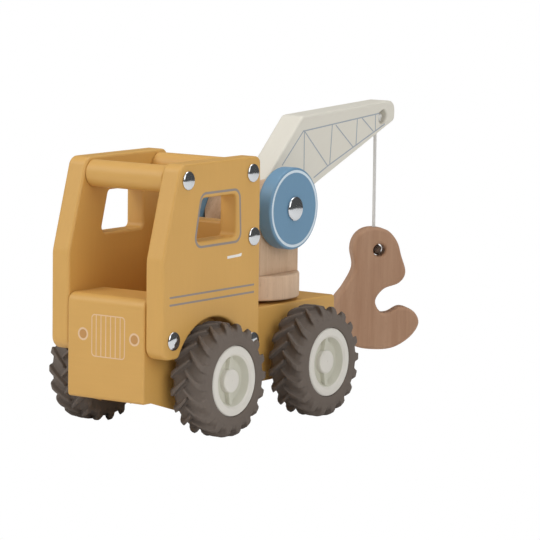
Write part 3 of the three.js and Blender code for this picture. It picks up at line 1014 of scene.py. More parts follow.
class Finishes:
    """Every finish on the truck, as a material."""

    def __init__(self) -> None:
        """Builds the shared effects and then each material."""
        effects = Effects()
        yellow = from_srgb(214, 166, 88)
        board = Paint("yellow_board_paint", yellow, 0.22)
        block = Paint("yellow_block_paint", yellow, 0.22, Grain.ALONG)
        rod = Paint("yellow_rod_paint", yellow, 0.22, Grain.ACROSS)
        cream = Paint("cream_boom_paint", from_srgb(224, 220, 208), 0.12, Grain.BOOM)
        blue = Paint("dusty_blue_disc_paint", from_srgb(108, 148, 178), 0.12)
        beech = Timber("raw_beech", from_srgb(210, 180, 150), from_srgb(194, 161, 130), 0.25)
        table = Timber("table_beech", from_srgb(226, 196, 166), from_srgb(211, 179, 149), 0.2)
        stain = Timber(
            "brown_stained_wood", from_srgb(182, 147, 120), from_srgb(166, 128, 101), 0.12
        )
        rubber = Moulding("grey_brown_rubber", from_srgb(106, 96, 88), 0.25, 0.7, 0.12, 0.3)
        ivory = Moulding("ivory_plastic", from_srgb(218, 214, 205), 0.05, 0.42, 0.04)
        # The dish is the rim's own ivory plastic made darker: painted shade in the rim's hollow.
        dish = Moulding("shaded_dish_plastic", from_srgb(201, 199, 184), 0.08, 0.5, 0.04)
        self.yellow = board.material(effects)
        self.yellow_along = block.material(effects)
        self.yellow_across = rod.material(effects)
        self.cream = cream.material(effects)
        self.blue = blue.material(effects)
        self.beech = beech.material(effects)
        self.table_beech = table.material(effects)
        self.stain = stain.material(effects)
        self.rubber = rubber.material(effects)
        self.ivory = ivory.material(effects)
        self.dish = dish.material(effects)
        self.chrome = Metal("polished_cap_metal", (0.74, 0.76, 0.78), 0.11, 0.02).material(effects)
        self.steel = Metal("zinc_plated_steel", (0.5, 0.5, 0.51), 0.38, 0.1).material(effects)
        self.cord = Braid("white_braided_cord", from_srgb(236, 235, 231)).material()
        # The knot in the hook's hole is white cord; its dark brown is painted shade for the shadow
        # inside the hole.
        hole_shade_braid = Braid("hole_shade_cord", from_srgb(112, 90, 74), from_srgb(70, 54, 43))
        self.hole_shade_cord = hole_shade_braid.material()
        inks = {
            "grey_mauve_print": (150, 141, 135),
            "white_print": (240, 238, 232),
            "pale_grille_print": (229, 196, 158),
            "orange_lamp_print": (196, 146, 88),
            "grey_blue_truss_print": (164, 172, 182),
            "pale_blue_ring_print": (214, 228, 238),
        }
        made = [Ink(name, from_srgb(*shade)).material(effects) for name, shade in inks.items()]
        self.grey_ink, self.white_ink, self.pale_ink = made[:3]
        self.lamp_ink, self.truss_ink, self.ring_ink = made[3:]


# ------------------------------------------------------------------ cord and camera


@dataclass
class Viewpoint:
    """The camera: how far, from where, and what it looks at."""

    azimuth: float = 36.0902
    elevation: float = 7.2428
    roll: float = 0.6924
    distance: float = 1695.34
    lens: float = 232.37
    sensor: float = 36.0
    aim_height: float = 60.0
    aim_right: float = 41.88
    aim_up: float = 14.69
    clip_end: float = 50.0

    def place(self) -> None:
        """Makes the camera and gives it to the scene."""
        az, el, roll = (math.radians(v) for v in (self.azimuth, self.elevation, self.roll))
        back = Vector((math.sin(az) * math.cos(el), -math.cos(az) * math.cos(el), math.sin(el)))
        level = Vector((0, 0, 1)).cross(back).normalized()
        upright = back.cross(level)
        right = level * math.cos(roll) + upright * math.sin(roll)
        up = upright * math.cos(roll) - level * math.sin(roll)
        aim = Vector((0, DRAWING_SHIFT, self.aim_height))
        aim += right * self.aim_right + up * self.aim_up
        data = bpy.data.cameras.new("camera")
        data.sensor_width = self.sensor
        data.lens = self.lens
        data.clip_end = self.clip_end
        camera = bpy.data.objects.new("camera", data)
        turn = Matrix((right, up, back)).transposed().to_4x4()
        camera.matrix_world = Matrix.Translation((aim + back * self.distance) * MM) @ turn
        bpy.context.scene.collection.objects.link(camera)
        bpy.context.scene.camera = camera
        LOG.info("camera set %.2f m away", self.distance * MM)


@dataclass
class HookCord:
    """The cord from the boom's tip to the hook, with the knot at each end."""

    slot: str = "white_cord"
    radius: float = 0.85
    y: float = 162.3
    mouth: float = 134.709
    top_knot: tuple[float, float, float] = (3.4, 159.4, 139.9)
    top_knot_radius: float = 2.6
    hook_knot_height: float = 70.1
    hook_knot_side: float = 2.3
    hook_knot_radius: float = 3.12
    hook_knot_depth: float = 0.9
    hook_turn: float = math.radians(51)
    cord_tail: float = 2.2
    bend_end: float = 129.7
    inside: float = 4.5
    below: float = 1.5
    points: int = 60
    mouth_points: int = 25
    knot_points: int = 60
    strand_share: float = 0.41
    knot_fullness: float = 1.3

    def knot(self, centre: Sequence[float], size: float, turn: float) -> Mesh:
        """Ties a cord into a small knot: a three-lobed loop drawn tight.

        Args:
            centre: The knot's middle.
            size: Its outer radius.
            turn: How far it is turned about Z.

        Returns:
            The knot's mesh.
        """
        strand = size * self.strand_share
        reach = (size - strand) / 3
        path = []
        for i in range(self.knot_points):
            t = 2 * math.pi * i / self.knot_points
            across = reach * (math.cos(t) - 2 * math.cos(2 * t))
            along = reach * (math.sin(t) + 2 * math.sin(2 * t))
            path.append(Vector((-math.sin(3 * t) * reach * self.knot_fullness, across, along)))
        return moved(swept_tube(path, strand, 10, loop=True), centre, turn)

    def placed(self, height: float) -> Vector:
        """A place on the cord's line, in the frame's metres."""
        return Vector((0, self.y + DRAWING_SHIFT, height)) * MM

    def route(self, top: float, low: float, points: int) -> list[Vector]:
        """Even points down the cord's line.

        Args:
            top: The first point's height.
            low: The last point's height.
            points: How many there are.

        Returns:
            The points, from the top.
        """
        steps = [top + (low - top) * i / (points - 1) for i in range(points)]
        return [Vector((0, self.y, height)) for height in steps]

    def knots(self, finishes: Finishes) -> list[bpy.types.Object]:
        """Makes the knot in the boom's tip hole and the one in the hook's hole.

        Args:
            finishes: The truck's materials.

        Returns:
            Both knots.
        """
        along = Vector((math.cos(self.hook_turn), math.sin(self.hook_turn), 0))
        inwards = Vector((-along.y, along.x, 0))
        middle = Vector((0, self.y, self.hook_knot_height))
        middle += along * self.hook_knot_side + inwards * self.hook_knot_depth
        top = self.knot(self.top_knot, self.top_knot_radius, 0)
        low = self.knot(middle, self.hook_knot_radius, self.hook_turn)
        made = (
            ("boom_cord_knot", top, Body.BOOM, finishes.cord, "boom_knot"),
            # The hook's knot takes the dark cord: painted shade inside the hook's hole.
            ("hook_cord_knot", low, Body.HOOK, finishes.hole_shade_cord, "hook_knot"),
        )
        return [
            finish_piece(name, knot, body, [finish], [node])
            for name, knot, body, finish, node in made
        ]

    def stretch(
        self,
        name: str,
        route: Sequence[Vector],
        bodies: Sequence[Body],
        finishes: Finishes,
    ) -> bpy.types.Object:
        """Makes a stretch of cord between two bodies, baked in place on neither of them.

        Args:
            name: The piece's name.
            route: Its points, from the top.
            bodies: The body over the bend and the one under it.
            finishes: The truck's materials.

        Returns:
            The stretch.
        """
        tube = swept_tube(route, self.radius)
        piece = finish_piece(name, tube, bodies[0], [finishes.cord], rides=False)
        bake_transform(piece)
        return piece

    def build(self, finishes: Finishes) -> None:
        """Makes the knots, the stretch at the boom's mouth and the hanging cord.

        Args:
            finishes: The truck's materials.
        """
        knots = self.knots(finishes)
        join = self.mouth - self.below
        inner = self.route(self.mouth + self.inside, join, self.mouth_points)
        inner_bodies = (Body.BOOM, Body.CORD_BEND)
        turn = self.stretch("cord_at_mouth", inner, inner_bodies, finishes)
        route = self.route(join, self.hook_knot_height + self.cord_tail, self.points)
        free_bodies = (Body.CORD_BEND, Body.CORD)
        line = self.stretch("hook_cord", route, free_bodies, finishes)
        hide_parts("cord", "cord_bend")


# ------------------------------------------------------------------ cab and chassis


@dataclass
class Cab:
    """Nose, chassis, back wall, roof bars and the two side panels, with their screws."""

    half_width: float = 23.1
    gap: float = 0.1
    nose_front: float = NOSE_FRONT
    nose_depth: float = 27.0
    bottom: float = 18.3
    nose_top: float = 68.2
    chassis_rear: float = 95.0
    deck: float = 55.5
    front_axle: float = -20.8
    rear_axle: float = 57.5
    axle_height: float = 27.5
    axle_bore: float = 3.3
    edge: float = 1.1
    panel_thickness: float = 10.6
    panel_front: float = -60.0
    panel_rear: float = 16.2
    panel_top: float = 131.6
    panel_top_front: float = -46.9
    kink: float = 87.2
    front_bottom: float = 39.9
    rear_bottom: float = 34.0
    arch: float = 29.4
    bar_radius: float = 6.5
    bar_height: float = 123.8
    front_bar: float = -41.5
    rear_bar: float = 9.4
    wall_thickness: float = 9.7
    wall_top: float = 99.4
    bar_end_edge: float = 0.6
    screw_bore: float = 2.3
    screw_bore_depth: float = 12.3
    window_front: float = -35.3
    window_rear: float = -2.8
    window_top_front: float = -29.6
    window_sill: float = 94.1
    window_head: float = 114.6
    wall_screw_height: float = 93.0
    wall_screw_set: float = 0.7
    nose_screw: Point = (-52.0, 48.9)
    chassis_screw: Point = (10.7, 42.0)
    screw_radius: float = 4.5
    screw_rise: float = 1.5
    screw_rim: float = 0.35
    shank: float = 2.0
    arch_front_trim: float = 0.16
    arch_rear_trim: float = 0.12
    window_line: tuple[Point, ...] = ((-37.2, 91.0), (0.9, 91.1), (-0.3, 117.4), (-31.5, 117.4))
    window_line_inner: tuple[Point, ...] = (
        (-35.6, 92.1), (-0.3, 92.2), (-1.4, 116.3), (-30.7, 116.3),
    )
    window_line_corners: Point = (5.0, 4.0)
    handle: tuple[Point, ...] = (
        (-10.3, 84.0), (0.6, 84.3), (1.2, 85.2), (1.2, 85.9), (-1.6, 85.5), (-10.3, 85.3),
    )
    handle_corner: float = 0.25
    stripe_heights: Point = (69.6, 66.0)
    stripe_ends: Point = (-54.5, 11.0)
    stripe_width: float = 0.9
    grille_low: Point = (-8.4, 38.7)
    grille_high: Point = (11.9, 59.1)
    grille_gaps: int = 7
    grille_line: float = 0.5
    lamps: tuple[Point, Point] = ((-13.5, 49.0), (17.5, 49.0))
    lamp_radius: float = 2.15
    lamp_ring: Point = (2.2, 3.1)
    film: float = 0.05

    @property
    def panel_inner(self) -> float:
        """The panels' inner face."""
        return self.half_width + self.gap

    @property
    def panel_outer(self) -> float:
        """The panels' outer face."""
        return self.panel_inner + self.panel_thickness

    @property
    def screws(self) -> dict[str, Point]:
        """Where each screw sits on a panel.

        Returns:
            The screws' places along Y and Z, by name.
        """
        wall = self.panel_rear - self.wall_thickness / 2 - self.wall_screw_set
        return {
            "front_bar": (self.front_bar, self.bar_height),
            "rear_bar": (self.rear_bar, self.bar_height),
            "wall": (wall, self.wall_screw_height),
            "nose": self.nose_screw,
            "chassis": self.chassis_screw,
        }

    def block(self, outline: Sequence[Point], holes: Sequence[Sequence[Point]] = ()) -> Mesh:
        """A block as wide as the chassis."""
        return extruded_board(outline, holes, -self.half_width, self.half_width, self.edge)

    def nose(self) -> Mesh:
        """Makes the nose block, with its rounded top front edge.

        Returns:
            The block's mesh.
        """
        rear = self.nose_front + self.nose_depth
        corners = [
            (self.nose_front, self.bottom, 1.6),
            (rear, self.bottom, 0.6),
            (rear, self.nose_top, 1.5),
            (self.nose_front, self.nose_top, 4.5),
        ]
        return self.block(softened(corners))

    def chassis(self) -> Mesh:
        """Makes the chassis block, bored for the axles.

        Returns:
            The block's mesh.
        """
        front = self.nose_front + self.nose_depth + self.gap
        corners = [
            (front, self.bottom, 0.6),
            (self.chassis_rear, self.bottom, 1.8),
            (self.chassis_rear, self.deck, 2.0),
            (front, self.deck, 0.6),
        ]
        axles = [(y, self.axle_height) for y in (self.front_axle, self.rear_axle)]
        return self.block(softened(corners), [ring_outline(axle, self.axle_bore) for axle in axles])

    def wall(self) -> Mesh:
        """Makes the low board behind the seat.

        Returns:
            The board's mesh.
        """
        front = self.panel_rear - self.wall_thickness
        foot = self.deck + self.gap
        corners = [
            (front, foot, 0.4),
            (self.panel_rear, foot, 0.4),
            (self.panel_rear, self.wall_top, 1.6),
            (front, self.wall_top, 1.6),
        ]
        return self.block(softened(corners))

    def roof_bar(self) -> Mesh:
        """Turns a bar with softened ends, bored for its screws.

        Returns:
            The bar's mesh.
        """
        end, floor = self.half_width, self.half_width - self.screw_bore_depth
        half = [
            (self.bar_radius, end, self.bar_end_edge),
            (self.screw_bore, end),
            (self.screw_bore, floor),
            (0, floor),
        ]
        other = [(radius, -along, *edge) for radius, along, *edge in reversed(half)]
        return turned(softened(other + half, 4, closed=False))

    def panel(self) -> Mesh:
        """Makes the right side panel, with its wheel arch and its window.

        Returns:
            The panel's mesh.
        """
        middle = (self.front_axle, self.axle_height)
        front_meet = math.pi - math.asin((self.front_bottom - self.axle_height) / self.arch)
        rear_meet = math.asin((self.rear_bottom - self.axle_height) / self.arch)
        first = arc(middle, self.arch, front_meet, front_meet, 1)[0]
        last = arc(middle, self.arch, rear_meet, rear_meet, 1)[0]
        front_trim, rear_trim = self.arch_front_trim, self.arch_rear_trim
        corners = [
            (self.panel_front, self.front_bottom, 6.0),
            (*first, 3.0),
            *arc(middle, self.arch, front_meet - front_trim, rear_meet + rear_trim, 44),
            (*last, 1.5),
            (self.panel_rear, self.rear_bottom, 3.0),
            (self.panel_rear, self.panel_top, 3.5),
            (self.panel_top_front, self.panel_top, 5.5),
            (self.panel_front, self.kink, 12.0),
        ]
        window = [
            (self.window_front, self.window_sill, 3.0),
            (self.window_rear, self.window_sill, 2.5),
            (self.window_rear, self.window_head, 2.5),
            (self.window_top_front, self.window_head, 2.5),
        ]
        faces = (self.panel_inner, self.panel_outer)
        return extruded_board(softened(corners, 8), [softened(window, 8)], *faces, self.edge + 0.3)

    def screw(self) -> Mesh:
        """Turns a right-hand screw: a polished dome with a rolled edge, and its shank.

        Returns:
            The screw's mesh.
        """
        seat, tip = self.panel_outer + self.gap, self.half_width - 12
        profile = [(0, tip), (self.shank - 0.6, tip), (self.shank, tip + 1.5), (self.shank, seat)]
        dome = domed_head(self.screw_radius, seat, self.screw_rise, self.screw_rim)
        return turned([*profile, (self.screw_radius - 0.25, seat), *dome], segments=48)

    def film_board(
        self,
        outline: Sequence[Point],
        holes: Sequence[Sequence[Point]],
        face: float,
        extra: float = 0.0,
    ) -> Mesh:
        """A thin printed shape on a face at X = face."""
        return extruded_board(outline, holes, face - self.film, face + self.film + extra)

    def panel_print(self) -> tuple[Mesh, Mesh]:
        """Makes the lines on a right side panel.

        Returns:
            The grey lines, and the white door handle.
        """
        face = self.panel_outer
        edges = zip((self.window_line, self.window_line_inner), self.window_line_corners)
        rim, inner = (softened([(*c, radius) for c in line], 8) for line, radius in edges)
        lines = [self.film_board(rim, [inner], face)]
        for height in self.stripe_heights:
            front, rear = ((y, height) for y in self.stripe_ends)
            lines.append(self.film_board(stroke_outline(front, rear, self.stripe_width), [], face))
        grip = softened([(*c, self.handle_corner) for c in self.handle], 3)
        return joined(lines), self.film_board(grip, [], face)

    def nose_print(self) -> list[Mesh]:
        """Makes the grille with the lamps' rings, and the lamps on the nose.

        Returns:
            The lines, and the lamps.
        """
        face, width = -self.nose_front, self.grille_line
        low, high = self.grille_low, self.grille_high
        corners = ((low[0] + width, low[1] + width), (high[0] - width, high[1] - width))
        inner = box_outline(*corners, 1.6)
        lines = [self.film_board(box_outline(low, high, 2.0), [inner], face)]
        for i in range(1, self.grille_gaps):
            x = low[0] + (high[0] - low[0]) * i / self.grille_gaps
            bar = stroke_outline((x, low[1] + 0.8), (x, high[1] - 0.8), width)
            lines.append(self.film_board(bar, [], face, 0.005))
        glass = []
        for lamp in self.lamps:
            hole, rim = (ring_outline(lamp, radius) for radius in self.lamp_ring)
            lines.append(self.film_board(rim, [hole], face))
            glass.append(self.film_board(ring_outline(lamp, self.lamp_radius), [], face, -0.01))
        return [moved(joined(films), turn_z=-math.pi / 2) for films in (lines, glass)]

    def build(self, finishes: Finishes) -> None:
        """Makes every piece of the cab.

        Args:
            finishes: The truck's materials.
        """
        body, slot = Body.CHASSIS, "yellow_paint"
        across, along = [finishes.yellow_across], [finishes.yellow_along]
        finish_piece("nose", self.nose(), body, across, ["nose_block"])
        finish_piece("chassis_board", self.chassis(), body, along, ["chassis_block"])
        finish_piece("seat_wall", self.wall(), body, across, ["back_wall"])
        for name, y in (("front", self.front_bar), ("rear", self.rear_bar)):
            bar = moved(self.roof_bar(), (0, y, self.bar_height))
            finish_piece(f"{name}_bar", bar, body, across, [f"{name}_roof_bar"])
        lines, lamps = self.nose_print()
        finish_piece("nose_print", lines, body, [finishes.pale_ink])
        finish_piece("nose_lamps", lamps, body, [finishes.lamp_ink])
        for side in Side:
            self.build_side(side, finishes)

    def build_side(self, side: Side, finishes: Finishes) -> None:
        """Makes a side panel, what is printed on it, and its screws.

        Args:
            side: The side of the truck.
            finishes: The truck's materials.
        """
        body, label, chrome = Body.CHASSIS, side.label, [finishes.chrome]
        panel = on_side(self.panel(), side)
        node = f"side_panel_{label}"
        finish_piece(f"cab_side_{label}", panel, body, [finishes.yellow], [node])
        lines, handle = (on_side(film, side) for film in self.panel_print())
        finish_piece(f"panel_lines_{label}", lines, body, [finishes.grey_ink])
        finish_piece(f"door_handle_{label}", handle, body, [finishes.white_ink])
        for name, (y, z) in self.screws.items():
            screw = moved(on_side(self.screw(), side), (0, y, z))
            node = f"{name}_screw_{label}"
            finish_piece(f"{name}_cap_screw_{label}", screw, body, chrome, [node])


# ------------------------------------------------------------------ wheels


@dataclass
class Wheel:
    """A wheel of the truck: a lugged rubber tyre on a dished plastic rim with its cap."""

    face: float = 46.9
    width: float = 19.7
    rim_radius: float = 17.0
    casing_radius: float = 25.1
    lug_count: int = 18
    lug_sweep: float = math.radians(17)
    dish_radius: float = 12.2
    dish_floor_radius: float = 10.6
    dish_depth: float = 4.2
    hub_radius: float = 5.9
    hub_sink: float = 1.6
    boss_radius: float = 6.5
    boss_end: float = 23.4
    bore: float = 3.1
    lug_top: tuple[Point, ...] = (
        (-1.0, 26.2), (-0.5, 27.3), (3.0, 27.5), (6.6, 27.4),
        (8.5, 26.6), (9.4, 25.2), (9.8, 23.2), (9.75, 20.8),
    )
    lug_foot: tuple[Point, ...] = (
        (-0.8, 23.6), (0.0, 23.6), (3.0, 23.6), (6.0, 23.4),
        (7.6, 22.8), (8.2, 22.0), (8.6, 21.2), (8.9, 20.4),
    )
    lug_widths: tuple[float, ...] = (1.5, 1.9, 2.4, 3.1, 3.7, 4.2, 4.7, 5.2)
    lug_top_draft: float = 0.82
    lug_foot_draft: float = 1.25
    lug_start: float = 1.0
    lug_reach: float = 9.6
    lug_bow: float = 1.15
    voxel: float = 0.36
    smoothings: int = 2
    rib_root: float = 2.3
    rib_tip: float = 1.1
    rib_edge: float = 0.35

    @property
    def middle(self) -> float:
        """The middle of the tyre's width, along X."""
        return self.face - self.width / 2

    def casing(self) -> Mesh:
        """Turns the tyre without its lugs.

        Returns:
            The casing's mesh.
        """
        half = self.width / 2
        bore = self.rim_radius + 0.1
        flank = [(bore, half - 0.3), (18.2, half), (20.8, half, 1.5), (23.6, half - 0.9, 2.5)]
        shoulder = [(self.casing_radius - 0.4, half - 3.2, 3.0), (self.casing_radius, half - 6.0)]
        right = flank + shoulder
        left = [(r, -along, *rest) for r, along, *rest in reversed(right)]
        profile = softened(right + left, 5, closed=False)
        return moved(turned([*profile, profile[0]], segments=90), (self.middle, 0, 0))

    def lug(self, row: int, turn: float) -> Mesh:
        """One lug: narrow at the tread's middle, sweeping and widening to the shoulder.

        Args:
            row: 1 for the outer row, -1 for the inner one.
            turn: The angle of its shoulder end about the axle.

        Returns:
            The lug's mesh.
        """
        spans = len(self.lug_top) - 1
        bm = bmesh.new()
        bmesh.ops.create_cube(bm, size=1)
        lengthwise = [e for e in bm.edges if abs(e.verts[0].co.x - e.verts[1].co.x) > 0.5]
        bmesh.ops.subdivide_edges(bm, edges=lengthwise, cuts=spans - 1, use_grid_fill=True)
        for vert in bm.verts:
            step = round((vert.co.x + 0.5) * spans)
            high = vert.co.z > 0
            across, radius = (self.lug_top if high else self.lug_foot)[step]
            draft = self.lug_top_draft if high else self.lug_foot_draft
            share = min(1.0, max(0.0, (across + self.lug_start) / self.lug_reach))
            angle = turn - self.lug_sweep * (1 - share) ** self.lug_bow
            angle += vert.co.y * self.lug_widths[step] * draft / radius
            vert.co = (
                self.middle + row * across,
                radius * math.cos(angle),
                radius * math.sin(angle),
            )
        bmesh.ops.recalc_face_normals(bm, faces=bm.faces)
        return bm

    def tyre(self) -> Mesh:
        """Makes the whole tyre in one moulded skin, as it is on the right.

        Returns:
            The tyre's mesh.
        """
        pitch = 2 * math.pi / self.lug_count
        lugs = [self.lug(1, i * pitch) for i in range(self.lug_count)]
        lugs += [self.lug(-1, (i + 0.5) * pitch) for i in range(self.lug_count)]

        def dress(held: bpy.types.Object) -> None:
            """Melts the lugs into the casing.

            Args:
                held: The object with the casing and the lugs.
            """
            skin = held.modifiers.new("skin", "REMESH")
            skin.mode = "VOXEL"
            skin.voxel_size = self.voxel
            skin.adaptivity = 0.0

        bm = with_modifiers(joined([self.casing(), *lugs]), dress)
        ways = {"use_axis_x": True, "use_axis_y": True, "use_axis_z": True}
        for _ in range(self.smoothings):
            bmesh.ops.smooth_vert(bm, verts=bm.verts, factor=0.5, **ways)
        return bm

    def rim(self) -> Mesh:
        """Makes the rim: a broad soft lip round a dish, with two ribs beside the hub.

        Returns:
            The rim's mesh, its dish as a second, darker material that paints the shade in its
            hollow.
        """
        inner = self.face - self.width
        floor = self.face - self.dish_depth
        outline = [
            (self.bore, floor),
            (self.dish_floor_radius, floor, 0.8),
            (self.dish_radius, self.face - 0.9, 0.9),
            (self.dish_radius + 1.1, self.face, 0.9),
            (self.rim_radius, self.face - 0.1, 1.1),
            (self.rim_radius, inner + 0.6, 0.5),
            (self.boss_radius, inner + 1.4),
            (self.boss_radius, self.boss_end, 0.4),
            (self.bore, self.boss_end),
        ]
        profile = softened(outline, 6, closed=False)
        dish = turned([*profile, profile[0]], segments=96)
        rim = joined([dish, self.rib(1, floor), self.rib(-1, floor)])
        # The dish's faces take the darker plastic: painted shade in the hollow.
        for piece in rim.faces:
            middle = piece.calc_center_median()
            if middle.x > floor - 0.1 and math.hypot(middle.y, middle.z) < self.dish_radius + 0.05:
                piece.material_index = 1
        return rim

    def rib(self, up: int, floor: float) -> Mesh:
        """Makes a gusset from the hub to the wall of the dish.

        Args:
            up: 1 for the one over the hub, -1 for the one under it.
            floor: The dish's floor, along X.

        Returns:
            The rib's mesh.
        """
        near, far = self.hub_radius - 0.6, self.dish_radius - 0.3
        bm = bmesh.new()
        bmesh.ops.create_cube(bm, size=1)
        for vert in bm.verts:
            outer, proud = vert.co.z > 0, vert.co.x > 0
            reach = far if outer else near
            half = self.rib_tip if outer else self.rib_root
            rise = floor + (2.3 if outer else 2.0) if proud else floor - 0.6
            lean = 0.8 if proud else 1.1
            vert.co = (rise, math.copysign(half * lean, vert.co.y), up * reach)
        bmesh.ops.recalc_face_normals(bm, faces=bm.faces)
        bmesh.ops.bevel(
            bm,
            geom=[e for e in bm.edges if abs(e.verts[0].co.z - e.verts[1].co.z) > 1],
            offset=self.rib_edge,
            segments=3,
            profile=0.5,
            affect="EDGES",
            material=-1,
        )
        return bm

    def cap(self) -> Mesh:
        """Turns the hub cap: a flat round button with a soft edge and a dimple.

        Returns:
            The cap's mesh.
        """
        seat = self.face - self.dish_depth - 0.2
        face = self.face - self.hub_sink
        corners = [(0, seat), (self.hub_radius, seat, 0.1), (self.hub_radius, face, 0.9)]
        corners += [(0.7, face, 0.1), (0.5, face - 0.12, 0.1), (0, face - 0.12)]
        return turned(softened(corners, 5, closed=False), segments=64)


@dataclass
class RunningGear:
    """The two axles with their four wheels."""

    wheel: Wheel
    front_y: float = -20.8
    rear_y: float = 57.5
    height: float = 27.5

    def build(self, finishes: Finishes) -> None:
        """Makes the tyres, rims and caps, and dresses the axle rods.

        Args:
            finishes: The truck's materials.
        """
        tyre = bpy.data.meshes.new("tyre_master")
        held = self.wheel.tyre()
        held.to_mesh(tyre)
        held.free()
        axles = (("front", self.front_y, Body.FRONT_AXLE), ("rear", self.rear_y, Body.REAR_AXLE))
        for name, y, body in axles:
            for side in Side:
                label = f"{name}_{{}}_{side.label}"
                skin = bmesh.new()
                skin.from_mesh(tyre)
                turn = 0.0 if side is Side.RIGHT else math.pi
                made = (
                    ("tyre", skin, [finishes.rubber], "tyre_rubber"),
                    ("rim", self.wheel.rim(), [finishes.ivory, finishes.dish], "ivory_plastic"),
                    ("hub_cap", self.wheel.cap(), [finishes.ivory], "ivory_plastic"),
                )
                for kind, bm, coats, slot in made:
                    node = label.format(kind)
                    placed = moved(bm, (0, y, self.height), turn)
                    finish_piece(f"{node}_look", placed, body, coats, [node])
            dress_node(f"{name}_axle_rod", finishes.steel)
        bpy.data.meshes.remove(tyre)


# ------------------------------------------------------------------ turret and boom


@dataclass
class Turret:
    """The turntable and the fork that holds the boom."""

    y: float = 54.6
    table_bottom: float = 57.0
    table_radius: float = 24.2
    table_thickness: float = 12.5
    fork_bottom: float = 69.6
    fork_radius: float = 23.4
    fork_half_width: float = 17.3
    shoulder: float = 84.0
    top_radius: float = 13.2
    pivot: float = 102.3
    slot_half_width: float = 7.05
    slot_floor: float = 90.2
    bore: float = 2.8
    axle_bore: float = 5.3
    head_bore: float = 5.8
    head_sink: float = 3.8
    fork_edge: float = 0.8
    clear: float = 60.0

    def table(self) -> Mesh:
        """Turns the round table, bored through its middle.

        Returns:
            The table's mesh.
        """
        top = self.table_bottom + self.table_thickness
        corners = [
            (self.bore, self.table_bottom),
            (self.table_radius, self.table_bottom, 1.1),
            (self.table_radius, top, 1.3),
            (self.bore, top),
        ]
        profile = softened(corners, 5, closed=False)
        return moved(turned([*profile, profile[0]], Axis.Z, 120), (0, self.y, 0))

    def fork(self) -> Mesh:
        """Makes the fork: a turned drum with flat sides, a rounded top and the boom's slot.

        Returns:
            The fork's mesh.
        """
        foot, crown, radius = self.fork_bottom, self.pivot + self.top_radius + 1, self.fork_radius
        drum = turned([(0, foot), (radius, foot), (radius, crown), (0, crown)], Axis.Z, 120)
        lean = math.atan2(self.fork_radius - self.top_radius, self.pivot - self.shoulder)
        top = arc((0, self.pivot), self.top_radius, lean / 2, math.pi - lean / 2, 40)
        flank = radius + 1
        outline = [(-flank, foot - 1), (flank, foot - 1), (flank, self.shoulder)]
        outline += [*top, (-flank, self.shoulder)]
        sheath = extruded_board(outline, [], -self.fork_half_width, self.fork_half_width)
        slot = cutting_block(
            (2 * self.slot_half_width, 4 * radius, self.clear),
            (0, 0, self.slot_floor + self.clear / 2),
        )
        reach = [(0, -self.clear), (self.axle_bore, -self.clear)]
        axle = turned([*reach, (self.axle_bore, self.clear), (0, self.clear)])
        step, over = self.slot_floor - self.head_sink, self.slot_floor + 5
        bore = [(0, foot - 9), (self.bore, foot - 9), (self.bore, step)]
        screw = turned([*bore, (self.head_bore, step), (self.head_bore, over), (0, over)], Axis.Z)
        cuts = [(tool, "DIFFERENCE") for tool in (slot, moved(axle, (0, 0, self.pivot)), screw)]
        whole = carved(drum, [(sheath, "INTERSECT"), *cuts], self.fork_edge)
        return moved(whole, (0, self.y, 0))

    def build(self, finishes: Finishes) -> None:
        """Makes the table and the fork, and dresses the screw and washer under them.

        Args:
            finishes: The truck's materials.
        """
        pieces = (
            ("round_table", self.table(), finishes.table_beech, "turntable"),
            ("boom_fork", self.fork(), finishes.beech, "turret_fork"),
        )
        for name, bm, finish, node in pieces:
            finish_piece(name, bm, Body.TURRET, [finish], [node])
        dress_node("slew_washer", finishes.steel)
        dress_node("slew_screw", finishes.steel)


